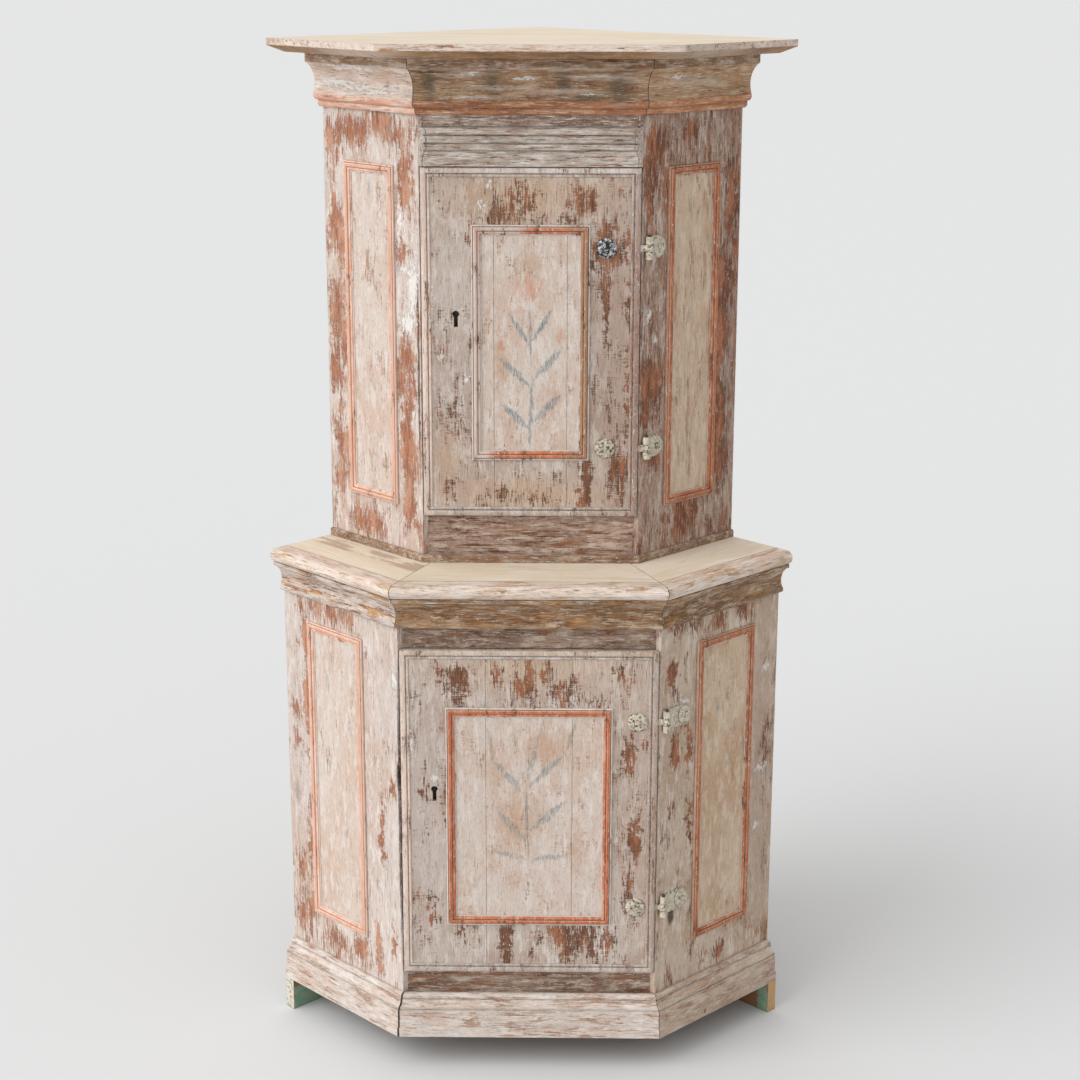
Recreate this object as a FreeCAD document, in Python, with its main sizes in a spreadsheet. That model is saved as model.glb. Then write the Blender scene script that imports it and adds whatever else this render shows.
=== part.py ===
import FreeCAD, Part
import os
import re
import Sketcher
from FreeCAD import Placement, Rotation, Vector

# Two-part corner cabinet: a five-sided base with a plank door, a moulded ledge at the waist and a
# shallower five-sided case on top. Frame: +Z up, the front faces -Y, +X is to the right, and the
# origin is at the floor, midway between the ledge's nose and the room corner. Millimetres.

# Driving dimensions: one cell of the sheet each.
SIZES = {
    # plan of the two cases: the walls meet at a right angle, the canted sides are square to them
    "corner_depth": 688,         # lower front plane to the room corner
    "upper_setback": 130,        # upper front plane behind the lower one
    "lower_half": 232,           # half width of the lower front
    "upper_half": 193,           # half width of the upper front
    # heights
    "foot_height": 62,
    "lower_height": 845,         # lower case boards
    "ledge_thick": 25,
    "upper_height": 893,         # upper case boards
    "top_bevel_high": 13,        # bevelled underside of the top board
    "top_edge_high": 12,         # upright edge of the top board
    "lower_rail_low_show": 41,   # front rail seen between plinth and lower door
    "lower_rail_top_show": 40,   # front rail seen between lower door and waist moulding
    "upper_rail_low_show": 71,   # front rail seen between base moulding and upper door
    # board thicknesses
    "side_thick": 22,
    "back_thick": 18,
    "rail_thick": 22,
    "rail_rebate": 8,            # rails set back where they show beside a door
    "door_thick": 22,
    "floor_thick": 20,
    "shelf_thick": 18,
    "foot_thick": 22,
    "board_gap": 0.5,            # open joint between neighbouring boards
    # side boards: the middle board takes what the front and rear boards leave
    "lower_front_board": 97,
    "lower_rear_board": 69,
    "upper_front_board": 65,
    "upper_rear_board": 58,
    # mouldings: how far they stand out and how high they are
    "plinth_out": 25,
    "plinth_high": 79,
    "waist_out": 23,
    "waist_high": 58,
    "nose_out": 30,              # ledge nose in front of the lower case
    "ledge_under": 20,           # ledge boards in behind the upper front plane
    "base_strip_out": 6,
    "base_strip_high": 14,
    "cornice_out": 38,
    "cornice_high": 98,
    "frieze_out": 11,
    "frieze_high": 87,
    "ear_thick": 2,
    "ear_gap": 1.2,              # open joint between frieze and ear
    "top_over_front": 109,       # top board in front of the upper case
    "top_over_side": 122,        # top board beyond the canted sides
    "top_bevel_wide": 40,
    # applied panel mouldings and door beads
    "panel_mould_wide": 18,
    "panel_mould_high": 8,
    "lower_panel_low": 77,       # side moulding above the plinth
    "lower_panel_top": 46,       # side moulding below the waist moulding
    "upper_panel_low": 81,       # side moulding above the base moulding
    "upper_panel_top": 91,       # side moulding below the cornice
    "lower_door_panel_side": 83,  # door moulding in from the front corners
    "lower_door_panel_low": 97,  # door moulding above the rail
    "lower_door_panel_top": 109,  # door moulding below the rail
    "upper_door_panel_side": 89.5,
    "upper_door_panel_low": 105,
    "upper_door_panel_top": 100,
    "bead_inset": 0.5,           # bead's outer edge from the door's edge
    "bead_wide": 16,             # rounded lip, quirk and small bead together
    "bead_high": 3,
    # doors
    "door_gap": 1.5,             # running gap round a door
    "batten_high": 70,
    "batten_thick": 16,
    "batten_inset": 55,          # batten end from the door's edge
    "batten_from_end": 45,       # batten from the door's upper and lower edges
    # hinges
    "lower_hinge_low": 133,      # lower hinge above the rail
    "lower_hinge_top": 135,      # upper hinge below the rail
    "upper_hinge_low": 127,
    "upper_hinge_top": 140,
    "knuckle_radius": 6.7,
    "knuckle_high": 13,
    "knuckle_gap": 0.4,
    "pin_radius": 3,
    "pin_clear": 0.08,
    "pin_head_high": 3,
    "hinge_along": 12,           # hinge axis behind the front corner, along the canted side
    "knuckle_clear": 0.3,        # knuckles off the canted side
    "leaf_thick": 1.6,
    "leaf_high": 12,
    "leaf_clear": 0.4,
    "lower_rosette_off": 2,      # door rosette's edge from the bead
    "upper_rosette_off": 24.5,
    "lower_rosette_behind": 29,  # side rosette's edge from the knuckles
    "upper_rosette_behind": 3.5,
    "rosette_radius": 18,
    "rosette_high": 7,
    # locks
    "lower_key_inset": 62,       # keyhole from the left front corner
    "lower_key_height": 353,     # keyhole's middle above the rail
    "upper_key_inset": 62,
    "upper_key_height": 358,
    "key_round_radius": 6,
    "key_slot_wide": 7,
    "key_high": 29,
    "lock_shy": 2,               # lock case in from the door's bevelled edge
    "lock_long": 84,
    "lock_deep": 13,
    "lock_high": 64,
    "bolt_thick": 5,
    "bolt_high": 16,
    "bolt_long": 44,
    "bolt_shy": 1,               # drawn bolt's tip in from the door's bevelled edge
    "bolt_throw": 14,
    "bolt_drop": 16,             # bolt centre below the keyhole
    "bolt_clear": 0.3,
    "grip_wide": 6,              # finger notch in the lower left side's front arris, above the bolt
    "grip_high": 50,
    "grip_up": 4,
    # inside
    "floor_drop": 2,             # floor's top below the front rail's top
    "lower_shelf_up": 310,       # shelf underside above the front rail
    "upper_shelf_low_up": 215,
    "upper_shelf_high_up": 435,
    "shelf_clear": 17,           # shelf front behind the door's battens
    "cleat_thick": 18,
    "cleat_high": 30,
    "cleat_short": 30,           # cleat ends short of the corners
}

CUT_MARGIN = "5"                 # cutting outlines run this far past what they cut
ROOT2 = "sqrt(2)"
CORNER_MITRE = f"({ROOT2} - 1)"  # tangent of half the 45 degree turn at a front corner
QUARTER_BULGE = f"(1 - {ROOT2} / 2)"  # bulge of a quarter circle over its radius
BACK_BOARDS = 4
DOOR_BOARDS = 3

# Places worked out from the sizes
FRONT_Y = "(nose_out - (corner_depth + nose_out) / 2)"
LEDGE_Z = "foot_height + lower_height"
LEDGE_WIDE = "(upper_setback + ledge_under)"  # ledge boards in from the lower case planes
BOLT_DEPTH = "(door_thick - lock_deep / 2)"  # middle of the bolt behind the front
LOCK_INSET = f"(door_thick + door_gap * {ROOT2} + lock_shy)"  # lock case from the left front corner
BOLT_TIP = f"({BOLT_DEPTH} + bolt_thick / 2 + door_gap * {ROOT2} + bolt_shy)"
HINGE_OFF = "(knuckle_radius + knuckle_clear)"  # hinge axis off the canted side

doc = FreeCAD.newDocument("corner_cabinet")
sheet = doc.addObject("Spreadsheet::Sheet", "Sizes")
for row, (alias, size) in enumerate(SIZES.items(), start=1):
    sheet.set(f"A{row}", str(size))
    sheet.setAlias(f"A{row}", alias)
doc.recompute()

ALIAS = re.compile(r"\b(" + "|".join(SIZES) + r")\b")
nodes = []
pockets = []


# Expressions and placing

def ref(text):
    """The expression with every size pointed at its cell."""
    return ALIAS.sub(r"Sizes.\1", text)


def value(text):
    return float(sheet.evalExpression(ref(text)))


def bind(thing, **properties):
    for name, text in properties.items():
        thing.setExpression(name, ref(text))


class Face:
    """An upright plane of a case: u runs along it, rightwards from outside, and d goes inwards."""

    def __init__(self, x, y, angle, run):
        self.x = x
        self.y = y
        self.angle = angle
        self.run = run

    def at(self, u, d):
        x = f"{self.x} + ({u}) * cos({self.angle}) - ({d}) * sin({self.angle})"
        y = f"{self.y} + ({u}) * sin({self.angle}) + ({d}) * cos({self.angle})"
        return x, y


def place(thing, face, u, d, z, turn=0):
    """Stand a thing on a face, turned about the face's own normal."""
    rotation = Rotation(Vector(0, 0, 1), face.angle) * Rotation(Vector(0, 1, 0), turn)
    thing.Placement = Placement(Vector(), rotation)
    move(thing, face, u, d, z)


def move(thing, face, u, d, z):
    for axis, text in zip("xyz", (*face.at(u, d), z)):
        thing.setExpression(f"Placement.Base.{axis}", ref(text))


class Case:
    """The plan of one case."""

    def __init__(self, name, depth, front, bottom, trim):
        """trim: heights of the foot and head mouldings and of the rails that show beside them."""
        foot, head, low_show, top_show = trim
        self.name = name
        self.foot = foot
        self.head = head
        self.low_show = low_show
        self.top_show = top_show
        self.half = f"{name}_half"
        self.depth = f"({depth})"
        self.front_y = f"({front})"
        self.bottom = f"({bottom})"
        self.height = f"{name}_height"
        side = f"(({self.depth} - {self.half}) / {ROOT2})"
        wall = f"(({self.depth} + {self.half}) / {ROOT2})"
        tip_x = f"({self.depth} + {self.half}) / 2"
        tip_y = f"{self.front_y} + ({self.depth} - {self.half}) / 2"
        self.front = Face(f"-{self.half}", self.front_y, 0, f"(2 * {self.half})")
        self.right = Face(self.half, self.front_y, 45, side)
        self.wall_right = Face(tip_x, tip_y, 135, wall)
        self.wall_left = Face("0", f"{self.front_y} + {self.depth}", 225, wall)
        self.left = Face(f"-({tip_x})", tip_y, -45, side)
        self.middle = Face("0", self.front_y, 0, f"(2 * {self.half})")
        self.rail_low = f"({foot} + {low_show})"
        self.rail_top = f"({head} + {top_show})"
        self.sill = f"({self.bottom} + {self.rail_low})"
        self.lintel = f"({self.bottom} + {self.height} - {self.rail_top})"
        self.head_z = f"({self.lintel} + {top_show})"
        self.door_low = f"({self.sill} + door_gap)"
        self.door_high = f"({self.height} - {self.rail_low} - {self.rail_top} - 2 * door_gap)"
        self.door_edge = f"({self.half} - door_gap * {ROOT2})"
        self.rosette_inset = (f"(door_gap * {ROOT2} + bead_inset + bead_wide + {name}_rosette_off"
                              " + rosette_radius)")
        self.rosette_along = f"(hinge_along + knuckle_radius + {name}_rosette_behind + rosette_radius)"
        self.hinge_heights = [f"({self.sill} + {name}_hinge_low)", f"({self.lintel} - {name}_hinge_top)"]
        self.key_z = f"({self.sill} + {name}_key_height)"

    def plan(self, front, side, wall):
        """Corners of the five-sided plan, moved in from the front, the sides and the walls."""
        across = f"({self.half} - ({side}) * {ROOT2})"
        along = f"({self.depth} - ({wall}) * {ROOT2})"
        front_x = f"({across} + ({front}))"
        tip = (f"(({along} + {across}) / 2)", f"(({along} - {across}) / 2)")
        return [
            (f"-{front_x}", front),
            (front_x, front),
            tip,
            ("0", along),
            (f"-{tip[0]}", tip[1]),
        ]


# Bodies, sketches and cuts

def new_body(name):
    return doc.addObject("PartDesign::Body", name)


def outline(sketch, points):
    """A closed loop through (x, y) or (x, y, bulge); a bulge to the right of the way is positive."""
    first = sketch.GeometryCount
    places = [Vector(value(point[0]), value(point[1]), 0) for point in points]
    ends = []
    for i, point in enumerate(points):
        start = places[i]
        end = places[(i + 1) % len(points)]
        if len(point) == 2:
            sketch.addGeometry(Part.LineSegment(start, end), False)
            ends.append((1, 2))
            continue
        way = (end - start).normalize()
        middle = (start + end) * 0.5 + Vector(way.y, -way.x, 0) * value(point[2])
        sketch.addGeometry(Part.Arc(start, middle, end), False)
        ends.append((1, 2) if value(point[2]) > 0 else (2, 1))
    for i, point in enumerate(points):
        after = (i + 1) % len(points)
        sketch.addConstraint(
            Sketcher.Constraint("Coincident", first + i, ends[i][1], first + after, ends[after][0]))
        for kind, text, size in zip(("DistanceX", "DistanceY"), point, places[i]):
            fix(sketch, text, kind, -1, 1, first + i, ends[i][0], size)
        if len(point) == 3:
            x, y = points[after][:2]
            chord = f"((({x}) - ({point[0]}))^2 + (({y}) - ({point[1]}))^2)"
            radius = f"{chord} / (8 * abs({point[2]})) + abs({point[2]}) / 2"
            fix(sketch, radius, "Radius", first + i, value(radius))


def fix(sketch, text, *constraint):
    index = sketch.addConstraint(Sketcher.Constraint(*constraint))
    sketch.setExpression(f"Constraints[{index}]", ref(text))


def add_sketch(body, plane, loops, offset="0"):
    """A sketch on one of the body's own origin planes, moved along the plane's normal."""
    sketch = body.newObject("Sketcher::SketchObject", f"{body.Name}_sketch")
    support = [item for item in body.Origin.OriginFeatures if item.Role == f"{plane}_Plane"]
    sketch.AttachmentSupport = [(support[0], "")]
    sketch.MapMode = "FlatFace"
    sketch.setExpression("AttachmentOffset.Base.z", ref(offset))
    for points in loops:
        outline(sketch, points)
    return sketch


def pad(body, sketch, length, symmetric=False):
    feature = body.newObject("PartDesign::Pad", f"{body.Name}_pad")
    feature.Profile = sketch
    feature.SideType = "Symmetric" if symmetric else "One side"
    bind(feature, Length=length)


def pocket(body, sketch):
    """Cut the sketch through everything on its normal's side."""
    before = body.Tip
    feature = body.newObject("PartDesign::Pocket", f"{body.Name}_pocket")
    feature.Profile = sketch
    feature.Type = "ThroughAll"
    feature.Reversed = True
    pockets.append((before, feature))


def cut(thing, tools):
    """The thing less each tool in turn."""
    for tool in tools:
        result = doc.addObject("Part::Cut", f"{thing.Name}_cut")
        result.Base = thing
        result.Tool = tool
        thing = result
    return thing


def node(label, *things):
    """One piece, or a group of separate pieces, as a named sub-part."""
    thing = things[0]
    if len(things) > 1:
        thing = doc.addObject("Part::Compound", label)
        thing.Links = list(things)
    thing.Label = label
    nodes.append(thing)


def block(name, size, face, start):
    """A square-edged board; size is along, through and up, start is u, d and z."""
    box = doc.addObject("Part::Box", name)
    bind(box, Length=size[0], Width=size[1], Height=size[2])
    place(box, face, *start)
    return box


def plate(name, points, thick, z, case):
    """A flat board cut to an outline in plan."""
    body = new_body(name)
    pad(body, add_sketch(body, "XY", [points]), thick)
    place(body, case.middle, "0", "0", z)
    return body


# Mouldings

def section(shares, out, high):
    """A moulding's outline from shares of its projection and height, back edge first."""
    points = []
    for share in shares:
        point = (f"-({out}) * {share[0]}", f"({high}) * {share[1]}")
        if len(share) == 3:
            point += (f"({high}) * {share[2]}",)
        points.append(point)
    return points


def run_of(name, points, face, z, out, start="0", end="0", inner="0", run=None, first="0"):
    """A length of moulding on a face, its ends cut to the slopes start and end in plan."""
    run = run or face.run
    body = new_body(name)
    reach = f"({out} + {CUT_MARGIN})"
    depth = f"({inner} + {CUT_MARGIN})"
    far = f"({reach} + {depth})"
    extra = ["0" if slope.startswith("-") else f"({out}) * {slope}" for slope in (start, end)]
    pad(body, add_sketch(body, "YZ", [points], f"-({extra[0]})"), f"{run} + {extra[0]} + {extra[1]}")
    loops = []
    if start != "0":
        loops.append([
            (f"-{reach} * {start}", f"-{reach}"),
            (f"{depth} * {start}", depth),
            (f"-{far}", depth),
            (f"-{far}", f"-{reach}"),
        ])
    if end != "0":
        loops.append([
            (f"{run} + {reach} * {end}", f"-{reach}"),
            (f"{run} + {far}", f"-{reach}"),
            (f"{run} + {far}", depth),
            (f"{run} - {depth} * {end}", depth),
        ])
    if loops:
        pocket(body, add_sketch(body, "XY", loops))
    place(body, face, first, "0", z)
    return body


def mitred_round(case, name, points, out, z, inner="0"):
    """Left, front and right lengths of one moulding, mitred at the front corners."""
    return [
        run_of(f"{name}_left", points, case.left, z, out, "0", CORNER_MITRE, inner),
        run_of(f"{name}_front", points, case.front, z, out, CORNER_MITRE, CORNER_MITRE, inner),
        run_of(f"{name}_right", points, case.right, z, out, CORNER_MITRE, "0", inner),
    ]


def ledge_section():
    """A flat board with a half-round nose."""
    straight = "(nose_out - ledge_thick / 2)"
    quarter = f"ledge_thick / 2 * {QUARTER_BULGE}"
    return [
        (LEDGE_WIDE, "0"),
        (LEDGE_WIDE, "ledge_thick"),
        (f"-{straight}", "ledge_thick", quarter),
        ("-nose_out", "ledge_thick / 2", quarter),
        (f"-{straight}", "0"),
    ]


def strip(name, points, length, wide, face, u, d, z, turn):
    """A moulding length on a face with both ends mitred at 45 degrees."""
    body = new_body(name)
    pad(body, add_sketch(body, "YZ", [points]), length, symmetric=True)
    loops = []
    for sign in ("", "-"):
        loops.append([
            (f"{sign}({length} / 2 - {wide} - {CUT_MARGIN})", f"-{CUT_MARGIN}"),
            (f"{sign}({length} / 2 + {CUT_MARGIN})", f"{wide} + {CUT_MARGIN}"),
            (f"{sign}({length} / 2 + 2 * {CUT_MARGIN})", f"{wide} + {CUT_MARGIN}"),
            (f"{sign}({length} / 2 + 2 * {CUT_MARGIN})", f"-{CUT_MARGIN}"),
        ])
    pocket(body, add_sketch(body, "XZ", loops))
    place(body, face, u, d, z, turn)
    return body


def picture_frame(name, points, wide, face, centre, half, low, high):
    """Four mitred lengths round a panel: half width, lower edge and height are outside sizes."""
    middle = f"{low} + ({high}) / 2"
    width = f"(2 * ({half}))"
    inside = f"(({half}) - {wide})"
    return [
        strip(f"{name}_top", points, width, wide, face, centre, "0", f"{low} + {high} - {wide}", 0),
        strip(f"{name}_right", points, f"({high})", wide, face, f"{centre} + {inside}", "0", middle, 90),
        strip(f"{name}_bottom", points, width, wide, face, centre, "0", f"{low} + {wide}", 180),
        strip(f"{name}_left", points, f"({high})", wide, face, f"{centre} - {inside}", "0", middle, -90),
    ]


# Sections, in shares of projection and height: (out, up) or (out, up, bulge of the next stretch)
PLINTH = [
    (0, 0), (0, 1), (0.16, 1, 0.03), (0.36, 0.88), (0.44, 0.88, -0.04), (0.84, 0.72), (0.78, 0.67),
    (0.88, 0.66), (0.88, 0.24), (1, 0.22), (1, 0),
]
WAIST = [
    (0, 0), (0, 1), (1, 1), (1, 0.88), (0.86, 0.86, -0.12), (0.3, 0.24), (0.36, 0.2, 0.07), (0.2, 0),
]
BASE_STRIP = [(0, 0), (0, 1), (0.45, 1, 0.1), (1, 0.6), (1, 0)]
CORNICE = [
    (0, 0), (0, 1), (1, 1), (1, 0.81), (0.93, 0.8, -0.09), (0.5, 0.3), (0.5, 0.27, 0.045), (0.34, 0.13),
    (0.27, 0.12, 0.03), (0.14, 0),
]
FRIEZE = [
    (0, 0), (0, 1), (0.5, 1), (0.5, 0.79), (0.36, 0.785), (0.36, 0.765), (0.66, 0.76, 0.02), (0.92, 0.63),
    (0.68, 0.625), (0.68, 0.605), (0.86, 0.6, 0.022), (0.98, 0.47), (0.74, 0.465), (0.74, 0.445),
    (0.9, 0.44, 0.018), (0.92, 0.33), (0.7, 0.325), (0.7, 0.305), (0.82, 0.3, -0.03), (0.42, 0),
]
PANEL_MOULD = section(
    [(0, 0), (0, 1), (0.4, 1, 0.045), (0.5, 0.86), (0.22, 0.85), (0.22, 0.81), (0.65, 0.8, 0.085),
     (0.7, 0.45), (0.34, 0.44), (0.34, 0.4), (0.48, 0.39, 0.045), (0.34, 0.13), (0.15, 0.12), (0.15, 0)],
    "panel_mould_high", "panel_mould_wide")
ROSETTE = [(0, 0), (-1, 0), (-1, 0.2, 0.15), (-0.3, 0.7), (-0.3, 0.85), (-0.18, 1), (0, 1)]
BEAD = section(
    [(0, 0), (0, 1), (0.55, 1, 0.07), (0.7, 0.42), (0.15, 0.4), (0.15, 0.3), (0.45, 0.28, 0.06),
     (0.35, 0)],
    "bead_high", "bead_wide")


# The cases

def back_wall(case, side, start, run):
    """Upright boards against one room wall."""
    face = getattr(case, f"wall_{side}")
    share = f"(({run} + board_gap) / {BACK_BOARDS})"
    boards = []
    for i in range(BACK_BOARDS):
        size = (f"{share} - board_gap", "back_thick", case.height)
        first = f"{start} + {share} * {i}"
        boards.append(block(f"{case.name}_back_{side}_{i}", size, face, (first, "0", case.bottom)))
    node(f"{case.name}_back_{side}", *boards)


def canted_side(case, side, recesses):
    """Three upright boards; the front one takes the strike mortise and notch or the hinge notches."""
    face = getattr(case, side)
    front = f"{case.name}_front_board"
    rear = f"{case.name}_rear_board"
    middle = f"({face.run} - {front} - {rear} - 2 * board_gap)"
    widths = [front, middle, rear]
    if side == "left":
        widths.reverse()
    first = "0"
    boards = []
    for i, width in enumerate(widths):
        size = (width, "side_thick", case.height)
        board = block(f"{case.name}_{side}_board_{i}", size, face, (first, "0", case.bottom))
        if width == front:
            board = cut(board, recesses)
        boards.append(board)
        first = f"{first} + {width} + board_gap"
    node(f"{case.name}_{side}_side", *boards)
    panel_start = rear if side == "left" else front
    centre = f"{panel_start} + board_gap + {middle} / 2"
    low = f"({case.bottom} + {case.foot} + {case.name}_panel_low)"
    margins = f"{case.foot} - {case.name}_panel_low - {case.head} - {case.name}_panel_top"
    lengths = picture_frame(f"{case.name}_{side}_mould", PANEL_MOULD, "panel_mould_wide", face, centre,
                            f"{middle} / 2", low, f"({case.height} - {margins})")
    node(f"{case.name}_{side}_panel_moulding", *lengths)


def rail_board(case, name, z, high, front):
    """A board between the canted sides, its ends bevelled to meet them."""
    points = [
        (f"-({case.half} - {front})", front),
        (f"{case.half} - {front}", front),
        (f"{case.half} - rail_thick", "rail_thick"),
        (f"-({case.half} - rail_thick)", "rail_thick"),
    ]
    return plate(name, points, high, z, case)


def front_rails(case):
    """Rails under and over the door: flush behind a moulding, set back where they show."""
    name = f"{case.name}_bottom_rail"
    flush = rail_board(case, f"{name}_flush", case.bottom, case.foot, "0")
    above = f"{case.bottom} + {case.foot}"
    show = rail_board(case, f"{name}_show", above, case.low_show, "rail_rebate")
    node(name, flush, show)
    name = f"{case.name}_top_rail"
    flush = rail_board(case, f"{name}_flush", case.head_z, case.head, "0")
    front = "0" if case.top_show == "frieze_high" else "rail_rebate"
    show = rail_board(case, f"{name}_show", case.lintel, case.top_show, front)
    node(name, flush, show)


def cleats(case, name, top):
    """Cleats along the sides and walls under a floor or shelf whose underside is at top."""
    low = f"{top} - cleat_high"
    made = []
    for side in ("right", "wall_right", "wall_left", "left"):
        face = getattr(case, side)
        inset = "back_thick" if side.startswith("wall") else "side_thick"
        ends = "(side_thick + back_thick + cleat_thick + cleat_short)"
        size = (f"{face.run} - 2 * {ends}", "cleat_thick", "cleat_high")
        made.append(block(f"{name}_cleat_{side}", size, face, (ends, inset, low)))
    return made


def shelf(case, label, z, thick, setback):
    node(label, plate(label, case.plan(setback, "side_thick", "back_thick"), thick, z, case))


def key_tools(case, name, depth):
    """A round hole over a slot, as cutting pieces that run inwards from the front."""
    x = f"{case.name}_key_inset"
    slot = block(f"{name}_slot", ("key_slot_wide", depth, "key_high - key_round_radius"), case.front,
                 (f"{x} - key_slot_wide / 2", "0", f"{case.key_z} - key_high / 2"))
    round_hole = doc.addObject("Part::Cylinder", f"{name}_round")
    bind(round_hole, Radius="key_round_radius", Height=depth)
    round_hole.Placement = Placement(Vector(), Rotation(Vector(1, 0, 0), -90))
    move(round_hole, case.front, x, "0", f"{case.key_z} + key_high / 2 - key_round_radius")
    return [slot, round_hole]


def bolt_path(case, name, first, length, clear):
    """The space that the bolt needs, from u = first, with a clearance all round."""
    size = (length, f"bolt_thick + 2 * {clear}", f"bolt_high + 2 * {clear}")
    low = f"{case.key_z} - bolt_drop - bolt_high / 2 - {clear}"
    return block(name, size, case.front, (first, f"{BOLT_DEPTH} - bolt_thick / 2 - {clear}", low))


def leaf_space(case, name, z, start, length, clear):
    """The let-in place of a door leaf, along the front from u = start."""
    size = (length, f"leaf_thick + {clear}", f"leaf_high + 2 * {clear}")
    return block(name, size, case.front, (start, "0", f"{z} - leaf_high / 2 - {clear}"))


def plank_door(case):
    """Upright boards with bevelled outer edges, battens inside, a bead and a panel moulding outside."""
    name = f"{case.name}_door"
    edge = case.door_edge
    joint = f"({case.half} / {DOOR_BOARDS})"
    inner = f"({joint} - board_gap / 2)"
    outer = f"({joint} + board_gap / 2)"
    plans = [
        [(f"-{edge}", "0"), (f"-{outer}", "0"), (f"-{outer}", "door_thick"),
         (f"-({edge} - door_thick)", "door_thick")],
        [(f"-{inner}", "0"), (inner, "0"), (inner, "door_thick"), (f"-{inner}", "door_thick")],
        [(outer, "0"), (edge, "0"), (f"{edge} - door_thick", "door_thick"), (outer, "door_thick")],
    ]
    boards = [plate(f"{name}_board_{i}", plan, case.door_high, case.door_low, case)
              for i, plan in enumerate(plans)]
    lock_box = ("lock_long", "lock_deep", "lock_high")
    lock_at = (LOCK_INSET, "door_thick - lock_deep", f"{case.key_z} - lock_high / 2")
    tools = key_tools(case, f"{name}_key", "door_thick")
    tools.append(block(f"{name}_lock_bed", lock_box, case.front, lock_at))
    tools.append(bolt_path(case, f"{name}_bolt_way", "0", LOCK_INSET, "(2 * bolt_clear)"))
    boards[0] = cut(boards[0], tools)
    bed_start = f"(2 * {case.half} - {case.rosette_inset} - leaf_high / 2)"
    bed_run = f"{case.rosette_inset} + leaf_high"
    beds = [leaf_space(case, f"{name}_leaf_bed_{i}", z, bed_start, bed_run, "0")
            for i, z in enumerate(case.hinge_heights)]
    boards[2] = cut(boards[2], beds)
    node(f"{name}_boards", *boards)

    batten = (f"2 * ({case.half} - batten_inset)", "batten_thick", "batten_high")
    lows = [f"{case.door_low} + batten_from_end",
            f"{case.door_low} + {case.door_high} - batten_from_end - batten_high"]
    node(f"{name}_battens", *[
        block(f"{name}_batten_{i}", batten, case.front, ("batten_inset", "door_thick", low))
        for i, low in enumerate(lows)])

    node(f"{name}_bead", *picture_frame(
        f"{name}_bead", BEAD, "bead_wide", case.middle, "0", f"{edge} - bead_inset",
        f"({case.door_low} + bead_inset)", f"{case.door_high} - 2 * bead_inset"))
    margins = f"{name}_panel_low - {name}_panel_top"
    node(f"{name}_panel_moulding", *picture_frame(
        f"{name}_mould", PANEL_MOULD, "panel_mould_wide", case.middle, "0",
        f"{case.half} - {name}_panel_side", f"({case.sill} + {name}_panel_low)",
        f"({case.height} - {case.rail_low} - {case.rail_top} - {margins})"))

    lock = block(f"{case.name}_lock", lock_box, case.front, lock_at)
    way = bolt_path(case, f"{case.name}_lock_way", "0", f"{LOCK_INSET} + bolt_long", "bolt_clear")
    hole = key_tools(case, f"{case.name}_lock_key", BOLT_DEPTH)
    node(f"{case.name}_lock_case", cut(lock, [way] + hole))
    node(f"{case.name}_lock_bolt", bolt_path(case, f"{case.name}_bolt", BOLT_TIP, "bolt_long", "0"))


# Hinges

def on_axis(name, case, radius, z, high):
    """A cylinder on the hinge axis: a knuckle, a pin or a pin's bore."""
    solid = doc.addObject("Part::Cylinder", name)
    bind(solid, Radius=radius, Height=high)
    place(solid, case.right, "hinge_along", f"-{HINGE_OFF}", z)
    return solid


def joined(name, things):
    """The things made one."""
    thing = things[0]
    for other in things[1:]:
        result = doc.addObject("Part::Fuse", name)
        result.Base = thing
        result.Tool = other
        thing = result
    return thing


def rosette(name, face, u, d, z):
    """A round domed plate with a stud in the middle, turned about the face's normal."""
    body = new_body(name)
    sketch = add_sketch(body, "XZ", [section(ROSETTE, "rosette_radius", "rosette_high")])
    turned = body.newObject("PartDesign::Revolution", f"{name}_turned")
    turned.Profile = sketch
    turned.ReferenceAxis = (sketch, ["V_Axis"])
    turned.Angle = 360
    rotation = Rotation(Vector(0, 0, 1), face.angle) * Rotation(Vector(1, 0, 0), 90)
    body.Placement = Placement(Vector(), rotation)
    move(body, face, u, d, z)
    return body


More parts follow.
